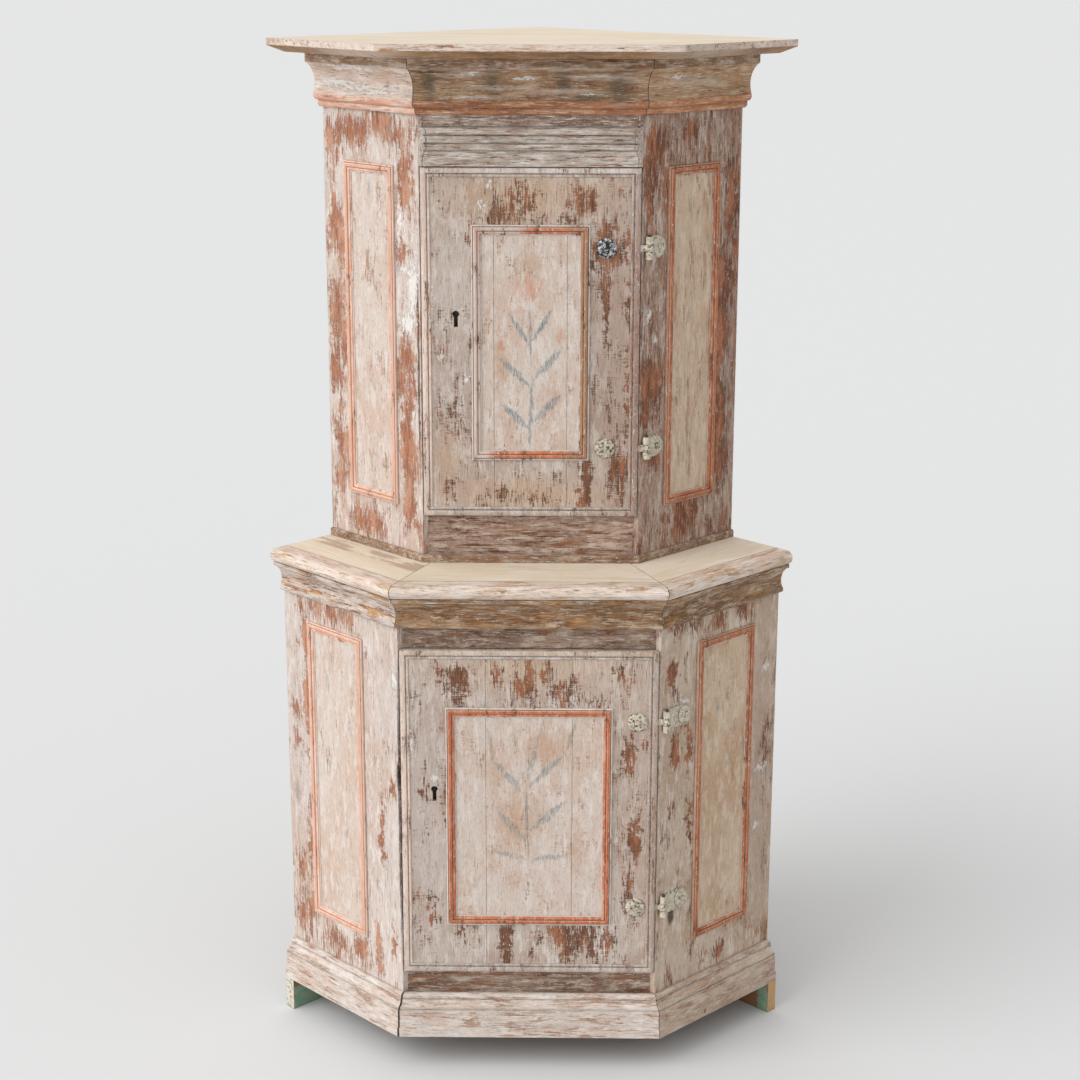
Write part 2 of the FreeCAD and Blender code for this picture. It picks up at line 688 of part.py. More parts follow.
def hinges(case):
    """Two hinges: the door leaf has the middle knuckle, the frame leaf the outer two, on one pin."""
    pitch = "(knuckle_high + knuckle_gap)"
    total = "(3 * knuckle_high + 2 * knuckle_gap)"
    doors = []
    frames = []
    pins = []
    for i, z in enumerate(case.hinge_heights):
        name = f"{case.name}_hinge_{i}"
        low = f"{z} - {total} / 2"
        bores = [on_axis(f"{name}_bore_{n}", case, "pin_radius + pin_clear", low, total)
                 for n in range(2)]
        knuckles = [on_axis(f"{name}_knuckle_{n}", case, "knuckle_radius", f"{low} + {n} * {pitch}",
                            "knuckle_high") for n in range(3)]

        door_rosette = f"(2 * {case.half} - {case.rosette_inset})"
        reach = f"{case.rosette_inset} + leaf_high / 2 + (hinge_along + {HINGE_OFF}) / {ROOT2}"
        flap = leaf_space(case, f"{name}_door_flap", z, f"{door_rosette} - leaf_high / 2", reach, "0")
        leaf = joined(f"{name}_door_leaf", [flap, knuckles[1]])
        doors.append(cut(leaf, bores[:1]))
        doors.append(rosette(f"{name}_door_rosette", case.front, door_rosette, "0", z))

        size = (f"{case.rosette_along} - hinge_along + leaf_high / 2", "leaf_thick", total)
        flap = block(f"{name}_frame_flap", size, case.right, ("hinge_along", "-leaf_thick", low))
        size = ("hinge_along + knuckle_radius", "2 * leaf_thick", f"{pitch} + knuckle_gap")
        gap = block(f"{name}_frame_gap", size, case.right,
                    ("0", "-2 * leaf_thick", f"{low} + knuckle_high"))
        leaf = joined(f"{name}_frame_leaf", [cut(flap, [gap]), knuckles[0], knuckles[2]])
        frames.append(cut(leaf, bores[1:]))
        frames.append(rosette(f"{name}_frame_rosette", case.right, case.rosette_along, "-leaf_thick", z))
        pins.append(on_axis(f"{name}_pin", case, "pin_radius", low, f"{total} + pin_head_high"))
    node(f"{case.name}_door_hinge_leaves", *doors)
    node(f"{case.name}_frame_hinge_leaves", *frames)
    node(f"{case.name}_hinge_pins", *pins)


def build_case(case, shelves, has_grip):
    """Everything that the two cases have in common."""
    strike = bolt_path(case, f"{case.name}_strike", f"{BOLT_TIP} - bolt_throw - 2 * bolt_clear",
                       LOCK_INSET, "(4 * bolt_clear)")
    notches = [leaf_space(case, f"{case.name}_notch_{i}", z, f"2 * {case.half} - side_thick",
                          "2 * side_thick", "leaf_clear")
               for i, z in enumerate(case.hinge_heights)]
    recesses = [strike]
    if has_grip:
        recesses.append(block(f"{case.name}_grip", ("grip_wide", "side_thick", "grip_high"), case.left,
                              (f"{case.left.run} - grip_wide", "0", f"{case.key_z} + grip_up")))
    canted_side(case, "left", recesses)
    canted_side(case, "right", notches)
    wall_run = case.wall_right.run
    back_wall(case, "right", "side_thick", f"({wall_run} - side_thick)")
    back_wall(case, "left", "back_thick", f"({wall_run} - side_thick - back_thick)")
    front_rails(case)
    floor = f"{case.sill} - floor_drop - floor_thick"
    carried = cleats(case, f"{case.name}_floor", floor)
    shelf(case, f"{case.name}_floor", floor, "floor_thick", "rail_thick")
    for which in shelves:
        label = f"{case.name}_{which}"
        underside = f"{case.sill} + {label}_up"
        carried += cleats(case, label, underside)
        shelf(case, label, underside, "shelf_thick", "(door_thick + batten_thick + shelf_clear)")
    node(f"{case.name}_cleats", *carried)
    plank_door(case)
    hinges(case)


lower = Case("lower", "corner_depth", FRONT_Y, "foot_height",
             ("plinth_high", "waist_high", "lower_rail_low_show", "lower_rail_top_show"))
upper = Case("upper", "corner_depth - upper_setback", f"{FRONT_Y} + upper_setback",
             f"{LEDGE_Z} + ledge_thick",
             ("base_strip_high", "cornice_high", "upper_rail_low_show", "frieze_high"))
TOP_Z = f"{upper.bottom} + upper_height"

build_case(lower, ["shelf"], True)
build_case(upper, ["shelf_low", "shelf_high"], False)


# Feet: a runner under each back wall, ending level with the plinth

foot_run = f"({lower.wall_right.run} + plinth_out)"
node("foot_right", block("foot_right", (foot_run, "foot_thick", "foot_height"), lower.wall_right,
                         ("-plinth_out", "0", "0")))
node("foot_left", block("foot_left", (f"{foot_run} - foot_thick", "foot_thick", "foot_height"),
                        lower.wall_left, ("foot_thick", "0", "0")))


# Mouldings round the front

rounds = {
    "plinth": (lower, section(PLINTH, "plinth_out", "plinth_high"), "plinth_out", "foot_height"),
    "waist_moulding": (lower, section(WAIST, "waist_out", "waist_high"), "waist_out",
                       f"{LEDGE_Z} - waist_high"),
    "ledge": (lower, ledge_section(), "nose_out", LEDGE_Z, LEDGE_WIDE),
    "cornice": (upper, section(CORNICE, "cornice_out", "cornice_high"), "cornice_out",
                f"{TOP_Z} - cornice_high"),
}
for name, (case, *rest) in rounds.items():
    for length in mitred_round(case, name, *rest):
        node(length.Name, length)
node("upper_base_moulding", *mitred_round(
    upper, "upper_base", section(BASE_STRIP, "base_strip_out", "base_strip_high"), "base_strip_out",
    upper.bottom))
node("ledge_infill", plate("ledge_infill", lower.plan(LEDGE_WIDE, LEDGE_WIDE, "0"), "ledge_thick",
                           LEDGE_Z, lower))


# Frieze over the upper door: its ends follow the canted sides, with an ear at each end

frieze = (section(FRIEZE, "frieze_out", "frieze_high"), upper.front, upper.lintel, "frieze_out")
ear_run = f"(ear_thick * {ROOT2})"
ear_space = f"({ear_run} + ear_gap)"
node("frieze_moulding", run_of("frieze", *frieze, "-1", "-1",
                               run=f"({upper.front.run} - 2 * {ear_space})", first=ear_space))
node("frieze_ears",
     run_of("ear_left", *frieze, "-1", "1", run=ear_run),
     run_of("ear_right", *frieze, "1", "-1", run=ear_run, first=f"{upper.front.run} - {ear_run}"))


# Top board: a bevelled underside below an upright edge

def top_board():
    body = new_body("top_board")
    wide = upper.plan("-top_over_front", "-top_over_side", "0")
    narrow = upper.plan("-(top_over_front - top_bevel_wide)", "-(top_over_side - top_bevel_wide)", "0")
    low = add_sketch(body, "XY", [narrow])
    high = add_sketch(body, "XY", [wide], "top_bevel_high")
    loft = body.newObject("PartDesign::AdditiveLoft", "top_bevel")
    loft.Profile = low
    loft.Sections = [high]
    loft.Ruled = True
    pad(body, add_sketch(body, "XY", [wide], "top_bevel_high"), "top_edge_high")
    place(body, upper.middle, "0", "0", TOP_Z)
    return body


node("top_board", top_board())


# Check everything, then write one file for each sub-part

doc.recompute()
for thing in doc.Objects:
    if {"Invalid", "Error"} & set(thing.State):
        raise RuntimeError(f"{thing.Name} failed: {thing.State}")
for before, feature in pockets:
    if feature.Shape.Volume >= before.Shape.Volume:
        raise RuntimeError(f"{feature.Name} cuts nothing")
for thing in nodes:
    if thing.Shape.isNull() or not thing.Shape.isValid():
        raise RuntimeError(f"{thing.Label} has no valid shape")

os.makedirs("parts", exist_ok=True)
for thing in nodes:
    thing.Shape.exportStep(f"parts/{thing.Label}.step")
print(len(nodes), "nodes,", sum(len(thing.Shape.Solids) for thing in nodes), "solids")
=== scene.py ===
import math

import bpy
from mathutils import Matrix, Vector

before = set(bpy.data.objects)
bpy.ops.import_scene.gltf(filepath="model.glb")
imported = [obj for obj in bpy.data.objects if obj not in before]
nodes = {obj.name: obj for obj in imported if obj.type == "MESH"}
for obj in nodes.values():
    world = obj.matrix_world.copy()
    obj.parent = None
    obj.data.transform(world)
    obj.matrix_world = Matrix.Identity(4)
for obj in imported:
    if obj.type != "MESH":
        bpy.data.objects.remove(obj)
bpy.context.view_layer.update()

# Camera: the photograph's place, tilt and field of view
CAMERA_PLACE = (0.060, -3.940, 2.030)
CAMERA_TILT = 0.2752
CAMERA_YAW = -0.0114
CAMERA_ROLL = 0.0021
CAMERA_LENS = 71.94
SENSOR = 36.0

# Stage: a pale floor, a sky that glows from the left front, and one soft lamp
FLOOR_REACH = 120.0
FLOOR_PAPER = (0.715, 0.722, 0.73, 1)
FLOOR_ROUGH = 0.9
SKY_TONE = (1.0, 0.995, 0.985, 1)
GLOW_FROM = (-0.756, -0.252, 0.605)
GLOW_GAIN = 0.50
GLOW_BASE = 0.655
BACKDROP = 0.78  # strength of the sky where the camera or a reflection sees it
KEY_ENERGY = 1.34
KEY_SPREAD = 50
KEY_AIM = (0.80, 0.48, -0.62)

# The frame is in metres. Places, sizes and depths in the materials are in mm
MM = 1000

# Half the width of both fronts
HALF_LOWER = 232.0
HALF_UPPER = 193.0

# Upright faces: the turn that lays the face along X, and where its run starts
FACES = {
    "front_lower": (0, HALF_LOWER),
    "front_upper": (0, HALF_UPPER),
    "left_lower": (45, 253.85),
    "left_upper": (45, 253.85),
    "right_lower": (-45, 68.6),
    "right_upper": (-45, 4.2),
}

# Where the painted side of each face lies: the further out, the lower the number
PLANES = {
    "front_lower": -329, "left_lower": -396.7, "right_lower": -396.7,
    "front_upper": -199, "left_upper": -277.2, "right_upper": -277.2,
}
RAIL_BACK = 8  # the rails' and the nose strip's step back from that plane
PAINT_DEEP = 14.0  # how far paint reaches round a board's edge: behind it the wood is bare
RIM_WIDE = 18.0  # width of a panel moulding
FIELD_LAP = 2  # how far the field's paint reaches under it
RUBBED_STRIP = 76  # middle of the rubbed strip on the ledge, behind the nose strip
RUBBED_HALF = (16, 24)
MITRE_SIN, MITRE_COS = 0.383, 0.924  # of half the 45 degrees between the front and a side
BACK_BOARDS = 4  # boards in each back wall
BOARD_STEP = 0.618  # from one board's own tone to the next one's
NO_LIMIT = -1000  # a limit that lies before every place, so that all of a piece is past it

# Painted shade, with grime, in the corners and grooves of most coats and of the doors', and the relief and
# gloss of every material
CORNER_SHADE = 0.36
DOOR_CORNER_SHADE = 0.14
BUMP_STRENGTH = 0.8
SPECULAR = 0.3

# Sockets of a colour Mix node, and of one that mixes numbers
MIX_FIRST, MIX_SECOND, MIX_RESULT = 6, 7, 2
BLEND_FIRST, BLEND_SECOND = 2, 3


def tone(red, green, blue):
    """A tone given in steps of 0 to 255, as the linear colour that a shader takes."""
    parts = [channel / 255 for channel in (red, green, blue)]
    return (*[((part + 0.055) / 1.055) ** 2.4 for part in parts], 1.0)


def tones(*steps):
    return tuple(tone(*step) for step in steps)


# Tones of the old paint coats: main, second and light
GREIGE = tones((198, 183, 172), (180, 159, 144), (218, 208, 199))
PINKISH = tones((212, 198, 189), (202, 180, 166), (226, 217, 210))
WARM_GREY = tones((203, 184, 165), (187, 161, 138), (220, 207, 193))
MAUVE_BROWN = tones((174, 148, 131), (150, 119, 99), (208, 190, 176))
RAIL_BROWN = tones((152, 129, 111), (118, 92, 74), (194, 177, 162))
FIELD = tones((212, 197, 186), (206, 182, 165), (223, 212, 204))
FIELD_TAN = tones((209, 186, 160), (196, 165, 136), (220, 202, 181))
TERRACOTTA = tones((204, 122, 82), (176, 94, 58), (226, 174, 146))
DULL_CLAY = tones((196, 120, 80), (162, 92, 58), (220, 166, 134))
SALMON = tones((232, 184, 160), (220, 160, 130), (240, 214, 198))
STRAW = tones((230, 216, 195), (223, 206, 182), (234, 225, 211))
TAN = tones((190, 154, 119), (172, 134, 98), (208, 182, 152))
BROWN = tones((160, 129, 100), (128, 96, 69), (204, 185, 163))
CORNICE_BROWN = tones((160, 123, 89), (134, 99, 68), (186, 159, 127))
ORANGE = tones((180, 120, 80), (146, 90, 57), (206, 162, 130))
BED_TAN = tones((200, 138, 95), (172, 110, 70), (220, 174, 138))
FASCIA = tones((150, 124, 108), (122, 92, 76), (186, 168, 155))
FRIEZE_GREY = tones((200, 187, 174), (178, 161, 146), (224, 215, 206))
CREAM = tones((227, 210, 197), (216, 189, 171), (238, 227, 218))
PLINTH_WHITE = tones((218, 206, 197), (210, 190, 176), (229, 221, 214))

# What shows where a coat is gone
RED_BROWN = tones((130, 87, 63), (98, 66, 48), (162, 104, 70))
LIGHT_RED = tones((176, 120, 92), (146, 94, 70), (194, 144, 116))
DEEP_RED = tones((138, 88, 63), (104, 66, 48), (172, 112, 79))
ROSE_WOOD = tones((192, 150, 122), (164, 120, 92), (206, 172, 148))
PINE = tones((166, 116, 70), (104, 68, 40), (196, 146, 92))
HONEY = tones((200, 162, 112), (170, 128, 84), (216, 186, 142))
OLD_PINE = tones((172, 142, 106), (142, 111, 78), (188, 162, 128))
EDGE_WOOD = tones((168, 128, 88), (138, 100, 66), (186, 150, 112))
CHALK = tone(232, 226, 220)
DARK = tone(52, 37, 28)
# Dark brown of grime, grain lines and joints, also laid as painted shade in corners and grooves
GRIME_AND_SHADE = tone(78, 58, 45)
BARE_FIELD = tone(188, 150, 120)
LILAC = tone(194, 180, 172)
BLUE_GREY = tone(120, 136, 142)
OLIVE = tone(128, 122, 92)
SMOKE = tone(88, 84, 72)
ROSE = tone(204, 132, 104)
SAGE = tone(140, 164, 140)
DEEP_SAGE = tone(118, 156, 130)
DUST = tone(132, 117, 98)
KNOT = tone(92, 66, 44)

# Metal: hinge paint, hinge rust, the bare rosette's dark steel and bright steel that partly stands for
# painted glints, and the locks' iron, rust and rubbed arrises
HINGE_CREAM = tones((208, 200, 178), (186, 174, 154))
HINGE_RUST = tones((84, 78, 73), (122, 92, 68))
STEEL_AND_GLINTS = tones((60, 60, 64), (226, 228, 230))
IRON = tones((78, 74, 70), (104, 68, 44), (150, 146, 140))

# Grain of a coat: size across the grain and length in widths of its worn flakes, the same of its chalk
# flecks, and how much scrapes across the grain, hair lines along it and the crust of small spots count
BOARD = (26, 3.0, 3.6, 2.2, 0.45, 0.22, 0.12)
GRAINED = (20, 5.0, 3.2, 3.0, 0.30, 0.42, 0.26)
DOOR = (24, 2.2, 3.6, 1.8, 0.90, 0.22, 0.05)
PLINTH = (15, 4.6, 3.2, 4.0, 0.35, 0.24, 0.22)
TRIM = (8, 7.0, 2.6, 7.0, 0.30, 0.42, 0.20)
REEDED = (5, 11.0, 1.9, 11.0, 0.20, 0.60, 0.34)
FIELD_CRUST = 0.15  # crust on a door's or side's sunk field


class Nodes:
    """Adds nodes to a tree. A value is a number, a vector, a colour or another node's socket."""

    def __init__(self, tree):
        self.tree = tree

    def add(self, kind):
        return self.tree.nodes.new(kind)

    def wire(self, socket, value):
        if isinstance(value, bpy.types.NodeSocket):
            self.tree.links.new(value, socket)
        else:
            socket.default_value = value

    def math(self, kind, first, second=0.0, third=0.0):
        node = self.add("ShaderNodeMath")
        node.operation = kind
        for socket, value in zip(node.inputs, (first, second, third)):
            self.wire(socket, value)
        return node.outputs[0]

    def vector(self, kind, first, second=(0, 0, 0), third=(0, 0, 0)):
        node = self.add("ShaderNodeVectorMath")
        node.operation = kind
        for socket, value in zip(node.inputs, (first, second, third)):
            self.wire(socket, value)
        return node.outputs["Value" if kind in ("LENGTH", "DISTANCE", "DOT_PRODUCT") else "Vector"]

    def times(self, first, second):
        return self.math("MULTIPLY", first, second)

    def less(self, value):
        return self.math("SUBTRACT", 1.0, value)

    def apart(self, first, second):
        return self.math("ABSOLUTE", self.math("SUBTRACT", first, second))

    def mix(self, share, first, second):
        node = self.add("ShaderNodeMix")
        node.data_type = "RGBA"
        self.wire(node.inputs[0], share)
        self.wire(node.inputs[MIX_FIRST], first)
        self.wire(node.inputs[MIX_SECOND], second)
        return node.outputs[MIX_RESULT]

    def lay(self, mask, share, below, above):
        """One colour laid over another where the mask is 1, at that share."""
        return self.mix(self.times(mask, share), below, above)


class Shade(Nodes):
    """Builds one material from nodes. A place on it is given along its face (u), out of it and up (z)."""

    def __init__(self, name, face, along="z"):
        self.material = bpy.data.materials.new(name)
        self.material.use_nodes = True
        super().__init__(self.material.node_tree)
        self.surface = self.tree.nodes["Principled BSDF"]
        self.along = along
        turn, start = FACES[face]
        mapping = self.add("ShaderNodeMapping")
        self.wire(mapping.inputs["Vector"], self.add("ShaderNodeTexCoord").outputs["Object"])
        self.wire(mapping.inputs["Location"], (start, 0, 0))
        self.wire(mapping.inputs["Rotation"], (0, 0, math.radians(turn)))
        self.wire(mapping.inputs["Scale"], (MM, MM, MM))
        self.place = mapping.outputs["Vector"]
        parts = self.add("ShaderNodeSeparateXYZ")
        self.wire(parts.inputs[0], self.place)
        self.u, self.out, self.z = parts.outputs
        self.rounded = None

    def noise(self, size, length=1.0, detail=3.0, rough=0.55, seed=0.0, across=False):
        """Noise with spots of that size, drawn out along or across the grain to so many times their width."""
        node = self.add("ShaderNodeTexNoise")
        drawn = 1 / (size * length)
        upright = (self.along == "z") != across
        scale = (1 / size, 1 / size, drawn) if upright else (drawn, 1 / size, 1 / size)
        shift = (seed, seed * 1.7 + 3.1, seed * 0.6 + 7.7)
        self.wire(node.inputs["Vector"], self.vector("MULTIPLY_ADD", self.place, scale, shift))
        self.wire(node.inputs["Scale"], 1.0)
        self.wire(node.inputs["Detail"], detail)
        self.wire(node.inputs["Roughness"], rough)
        return node.outputs["Fac"]

    def step(self, value, low, high):
        """0 below low, 1 above high, smooth between them."""
        node = self.add("ShaderNodeMapRange")
        node.interpolation_type = "SMOOTHSTEP"
        for socket, given in zip(node.inputs, (value, low, high, 0.0, 1.0)):
            self.wire(socket, given)
        return node.outputs[0]

    def under(self, value, low, high):
        """1 below low, 0 above high, smooth between them."""
        return self.less(self.step(value, low, high))

    def spots(self, low, high, *size, **kind):
        """Noise cut at two levels: 0 below low, 1 above high."""
        return self.step(self.noise(*size, **kind), low, high)

    def total(self, *terms):
        """Sum of weighted terms, each a value with its weight and the level that counts as nothing."""
        whole = None
        for value, weight, level in terms:
            part = self.math("MULTIPLY_ADD", value, weight, -weight * level)
            whole = part if whole is None else self.math("ADD", whole, part)
        return whole

    def ragged(self, reach, seed):
        """The face's place, shaken mostly along the grain, so that patches get torn, streaky ends."""
        streak = self.math("MULTIPLY_ADD", self.noise(2.6, 9, 3, seed=seed), 2 * reach, -reach)
        sway = self.math("MULTIPLY_ADD", self.noise(16, 1, 3, seed=seed + 5), 0.9 * reach, -0.45 * reach)
        shift = self.add("ShaderNodeCombineXYZ")
        ends = ("Z", "X") if self.along == "z" else ("X", "Z")
        self.wire(shift.inputs[ends[0]], streak)
        self.wire(shift.inputs[ends[1]], sway)
        return self.vector("ADD", self.place, shift.outputs[0])

    def near(self, patches, at, core=0.1, rim=1.7):
        """1 at the heart of any of the patches (along, up, half width, half height), fading to 0 round it."""
        least = None
        for along, up, wide, high in patches:
            scale = (1 / wide, 0, 1 / high)
            away = self.vector("MULTIPLY_ADD", at, scale, (-along / wide, 0, -up / high))
            away = self.vector("LENGTH", away)
            least = away if least is None else self.math("MINIMUM", least, away)
        return self.under(least, core, rim)

    def inside(self, span, inset):
        """1 within a rectangle (from, to along; from, to up) drawn in by the inset, 0 outside it."""
        return self.under(self.beyond(span, inset), -1.0, 1.0)

    def beyond(self, span, inset):
        """How far outside that rectangle a place is, in mm."""
        u0, u1, z0, z1 = span
        wide = self.math("SUBTRACT", self.apart(self.u, (u0 + u1) / 2), (u1 - u0) / 2 - inset)
        high = self.math("SUBTRACT", self.apart(self.z, (z0 + z1) / 2), (z1 - z0) / 2 - inset)
        return self.math("MAXIMUM", wide, high)

    def strokes(self, leaves, at):
        """1 inside any of some brush leaves, each drawn from its tail to its tip with a width."""
        flat = self.vector("MULTIPLY", at, (1, 0, 1))
        least = None
        for tail_u, tail_z, tip_u, tip_z, wide in leaves:
            chord = Vector((tip_u - tail_u, tip_z - tail_z))
            radius = ((chord.length / 2) ** 2 + (wide / 2) ** 2) / wide
            out = Vector((-chord.y, chord.x)).normalized() * (radius - wide / 2)
            middle = Vector(((tail_u + tip_u) / 2, (tail_z + tip_z) / 2))
            first = self.vector("DISTANCE", flat, (middle.x + out.x, 0, middle.y + out.y))
            second = self.vector("DISTANCE", flat, (middle.x - out.x, 0, middle.y - out.y))
            away = self.math("SUBTRACT", self.math("MAXIMUM", first, second), radius)
            least = away if least is None else self.math("MINIMUM", least, away)
        return self.under(least, -3.0, 1.0)

    def edge(self, reach):
        """1 at the arrises of the piece, 0 on its flats. The arrises are shaded as rubbed round."""
        bevel = self.add("ShaderNodeBevel")
        bevel.samples = 4
        self.wire(bevel.inputs["Radius"], reach / MM)
        self.rounded = bevel.outputs[0]
        face = self.add("ShaderNodeNewGeometry").outputs["Normal"]
        return self.under(self.vector("DOT_PRODUCT", self.rounded, face), 0.86, 0.999)

    def upward(self):
        """1 on faces that look up, 0 on upright ones."""
        parts = self.add("ShaderNodeSeparateXYZ")
        self.wire(parts.inputs[0], self.add("ShaderNodeNewGeometry").outputs["Normal"])
        return self.step(parts.outputs["Z"], 0.72, 0.90)

    def corner_shade_mask(self, reach):
        """1 deep in a corner or groove, 0 in the open: where shade falls, for darkening the colour as painted
        shade.
        """
        shut = self.add("ShaderNodeAmbientOcclusion")
        shut.samples = 4
        self.wire(shut.inputs["Distance"], reach / MM)
        return self.under(shut.outputs["AO"], 0.25, 0.85)

    def finish(self, colour, rough, height, depth):
        """Joins the colour, the roughness and a bump of that depth in mm to the surface."""
        bump = self.add("ShaderNodeBump")
        self.wire(bump.inputs["Strength"], BUMP_STRENGTH)
        self.wire(bump.inputs["Distance"], depth / MM)
        self.wire(bump.inputs["Height"], height)
        if self.rounded:
            self.wire(bump.inputs["Normal"], self.rounded)
        self.wire(self.surface.inputs["Normal"], bump.outputs[0])
        self.wire(self.surface.inputs["Base Color"], colour)
        self.wire(self.surface.inputs["Roughness"], rough)
        self.wire(self.surface.inputs["Specular IOR Level"], SPECULAR)
        return self.material


def span_of(name, face):
    """How far a node reaches along and up a face, in mm."""
    turn, start = FACES[face]
    rotation = Matrix.Rotation(math.radians(turn), 3, "Z")
    turned = [rotation @ point.co for point in nodes[name].data.vertices]
    along = [point.x * MM + start for point in turned]
    up = [point.z * MM for point in turned]
    return min(along), max(along), min(up), max(up)


def put(material, *names):
    for name in names:
        nodes[name].data.materials.clear()
        nodes[name].data.materials.append(material)


def streaked(shade, coat, seed, lines=0.30):
    """A brushed coat: two tones that drift, paler scuffs, fine light and dark lines, scratches across."""
    drift = shade.spots(0.44, 0.64, 95, 1.7, 4, 0.6, seed=seed + 1)
    colour = shade.mix(drift, coat[0], coat[1])
    blotch = shade.spots(0.48, 0.60, 34, 1.5, 6, 0.68, seed=seed + 6)
    colour = shade.lay(blotch, 0.5, colour, coat[1])
    pale = shade.spots(0.49, 0.60, 13, 3.4, 6, 0.68, seed=seed + 2)
    colour = shade.lay(pale, 0.75, colour, coat[2])
    line = shade.spots(0.56, 0.68, 1.2, 28, 3, seed=seed + 3)
    colour = shade.lay(line, 1.2 * lines, colour, GRIME_AND_SHADE)
    bright = shade.spots(0.58, 0.64, 1.5, 16, 4, 0.62, seed=seed + 4)
    colour = shade.lay(bright, 1.5 * lines, colour, CHALK)
    scratch = shade.spots(0.62, 0.70, 0.9, 16, 3, seed=seed + 5, across=True)
    return shade.lay(scratch, lines, colour, CHALK)


def swept(shade, coat, seed):
    """Paint on an upward face: nearly even, with faint grain and a few dark specks."""
    drift = shade.spots(0.40, 0.62, 50, 6, 4, 0.6, seed=seed + 1)
    colour = shade.mix(drift, coat[0], coat[1])
    pale = shade.spots(0.50, 0.66, 9, 9, 5, 0.65, seed=seed + 2)
    colour = shade.mix(pale, colour, coat[2])
    line = shade.spots(0.62, 0.74, 0.9, 60, 2, seed=seed + 3)
    colour = shade.lay(line, 0.30, colour, HONEY[1])
    speck = shade.spots(0.72, 0.76, 3.2, 1.6, 3, 0.5, seed=seed + 4)
    return shade.lay(speck, 0.7, colour, GRIME_AND_SHADE)


def pine(shade, seed, boards=None):
    """Old pine's colour, growth bands and pores, with grey dust in broad drifts and small dark knots.

    boards are the start and the width of boards laid side by side, each with its own tone.
    """
    sway = shade.noise(60, 8, 2, seed=seed + 1)
    band = shade.noise(9, 40, 4, seed=seed + 2)
    rings = shade.total((band, 9.0, 0.0), (sway, 4.0, 0.0))
    if boards:
        first, wide = boards
        run = shade.math("DIVIDE", shade.math("SUBTRACT", shade.u, first), wide)
        own = shade.math("FRACT", shade.math("MULTIPLY_ADD", shade.math("FLOOR", run), BOARD_STEP, seed))
        rings = shade.math("MULTIPLY_ADD", own, 7.0, rings)
    rings = shade.math("PINGPONG", rings, 1.0)
    colour = shade.mix(shade.step(rings, 0.30, 0.95), OLD_PINE[0], OLD_PINE[1])
    pores = shade.noise(0.8, 30, 2, seed=seed + 3)
    colour = shade.mix(shade.step(pores, 0.46, 0.70), colour, OLD_PINE[2])
    if boards:
        colour = shade.lay(own, 0.6, colour, OLD_PINE[1])
        seam = shade.times(shade.math("PINGPONG", run, 0.5), wide)
        joint = shade.under(seam, 0.8, 3.5)
        colour = shade.lay(joint, 0.7, colour, GRIME_AND_SHADE)
    dust = shade.spots(0.40, 0.62, 150, 2.5, 5, 0.6, seed=seed + 4)
    colour = shade.lay(dust, 0.45, colour, DUST)
    knot = shade.spots(0.66, 0.76, 15, 2.2, 4, 0.5, seed=seed + 5)
    colour = shade.lay(knot, 0.6, colour, KNOT)
    return colour, rings, pores


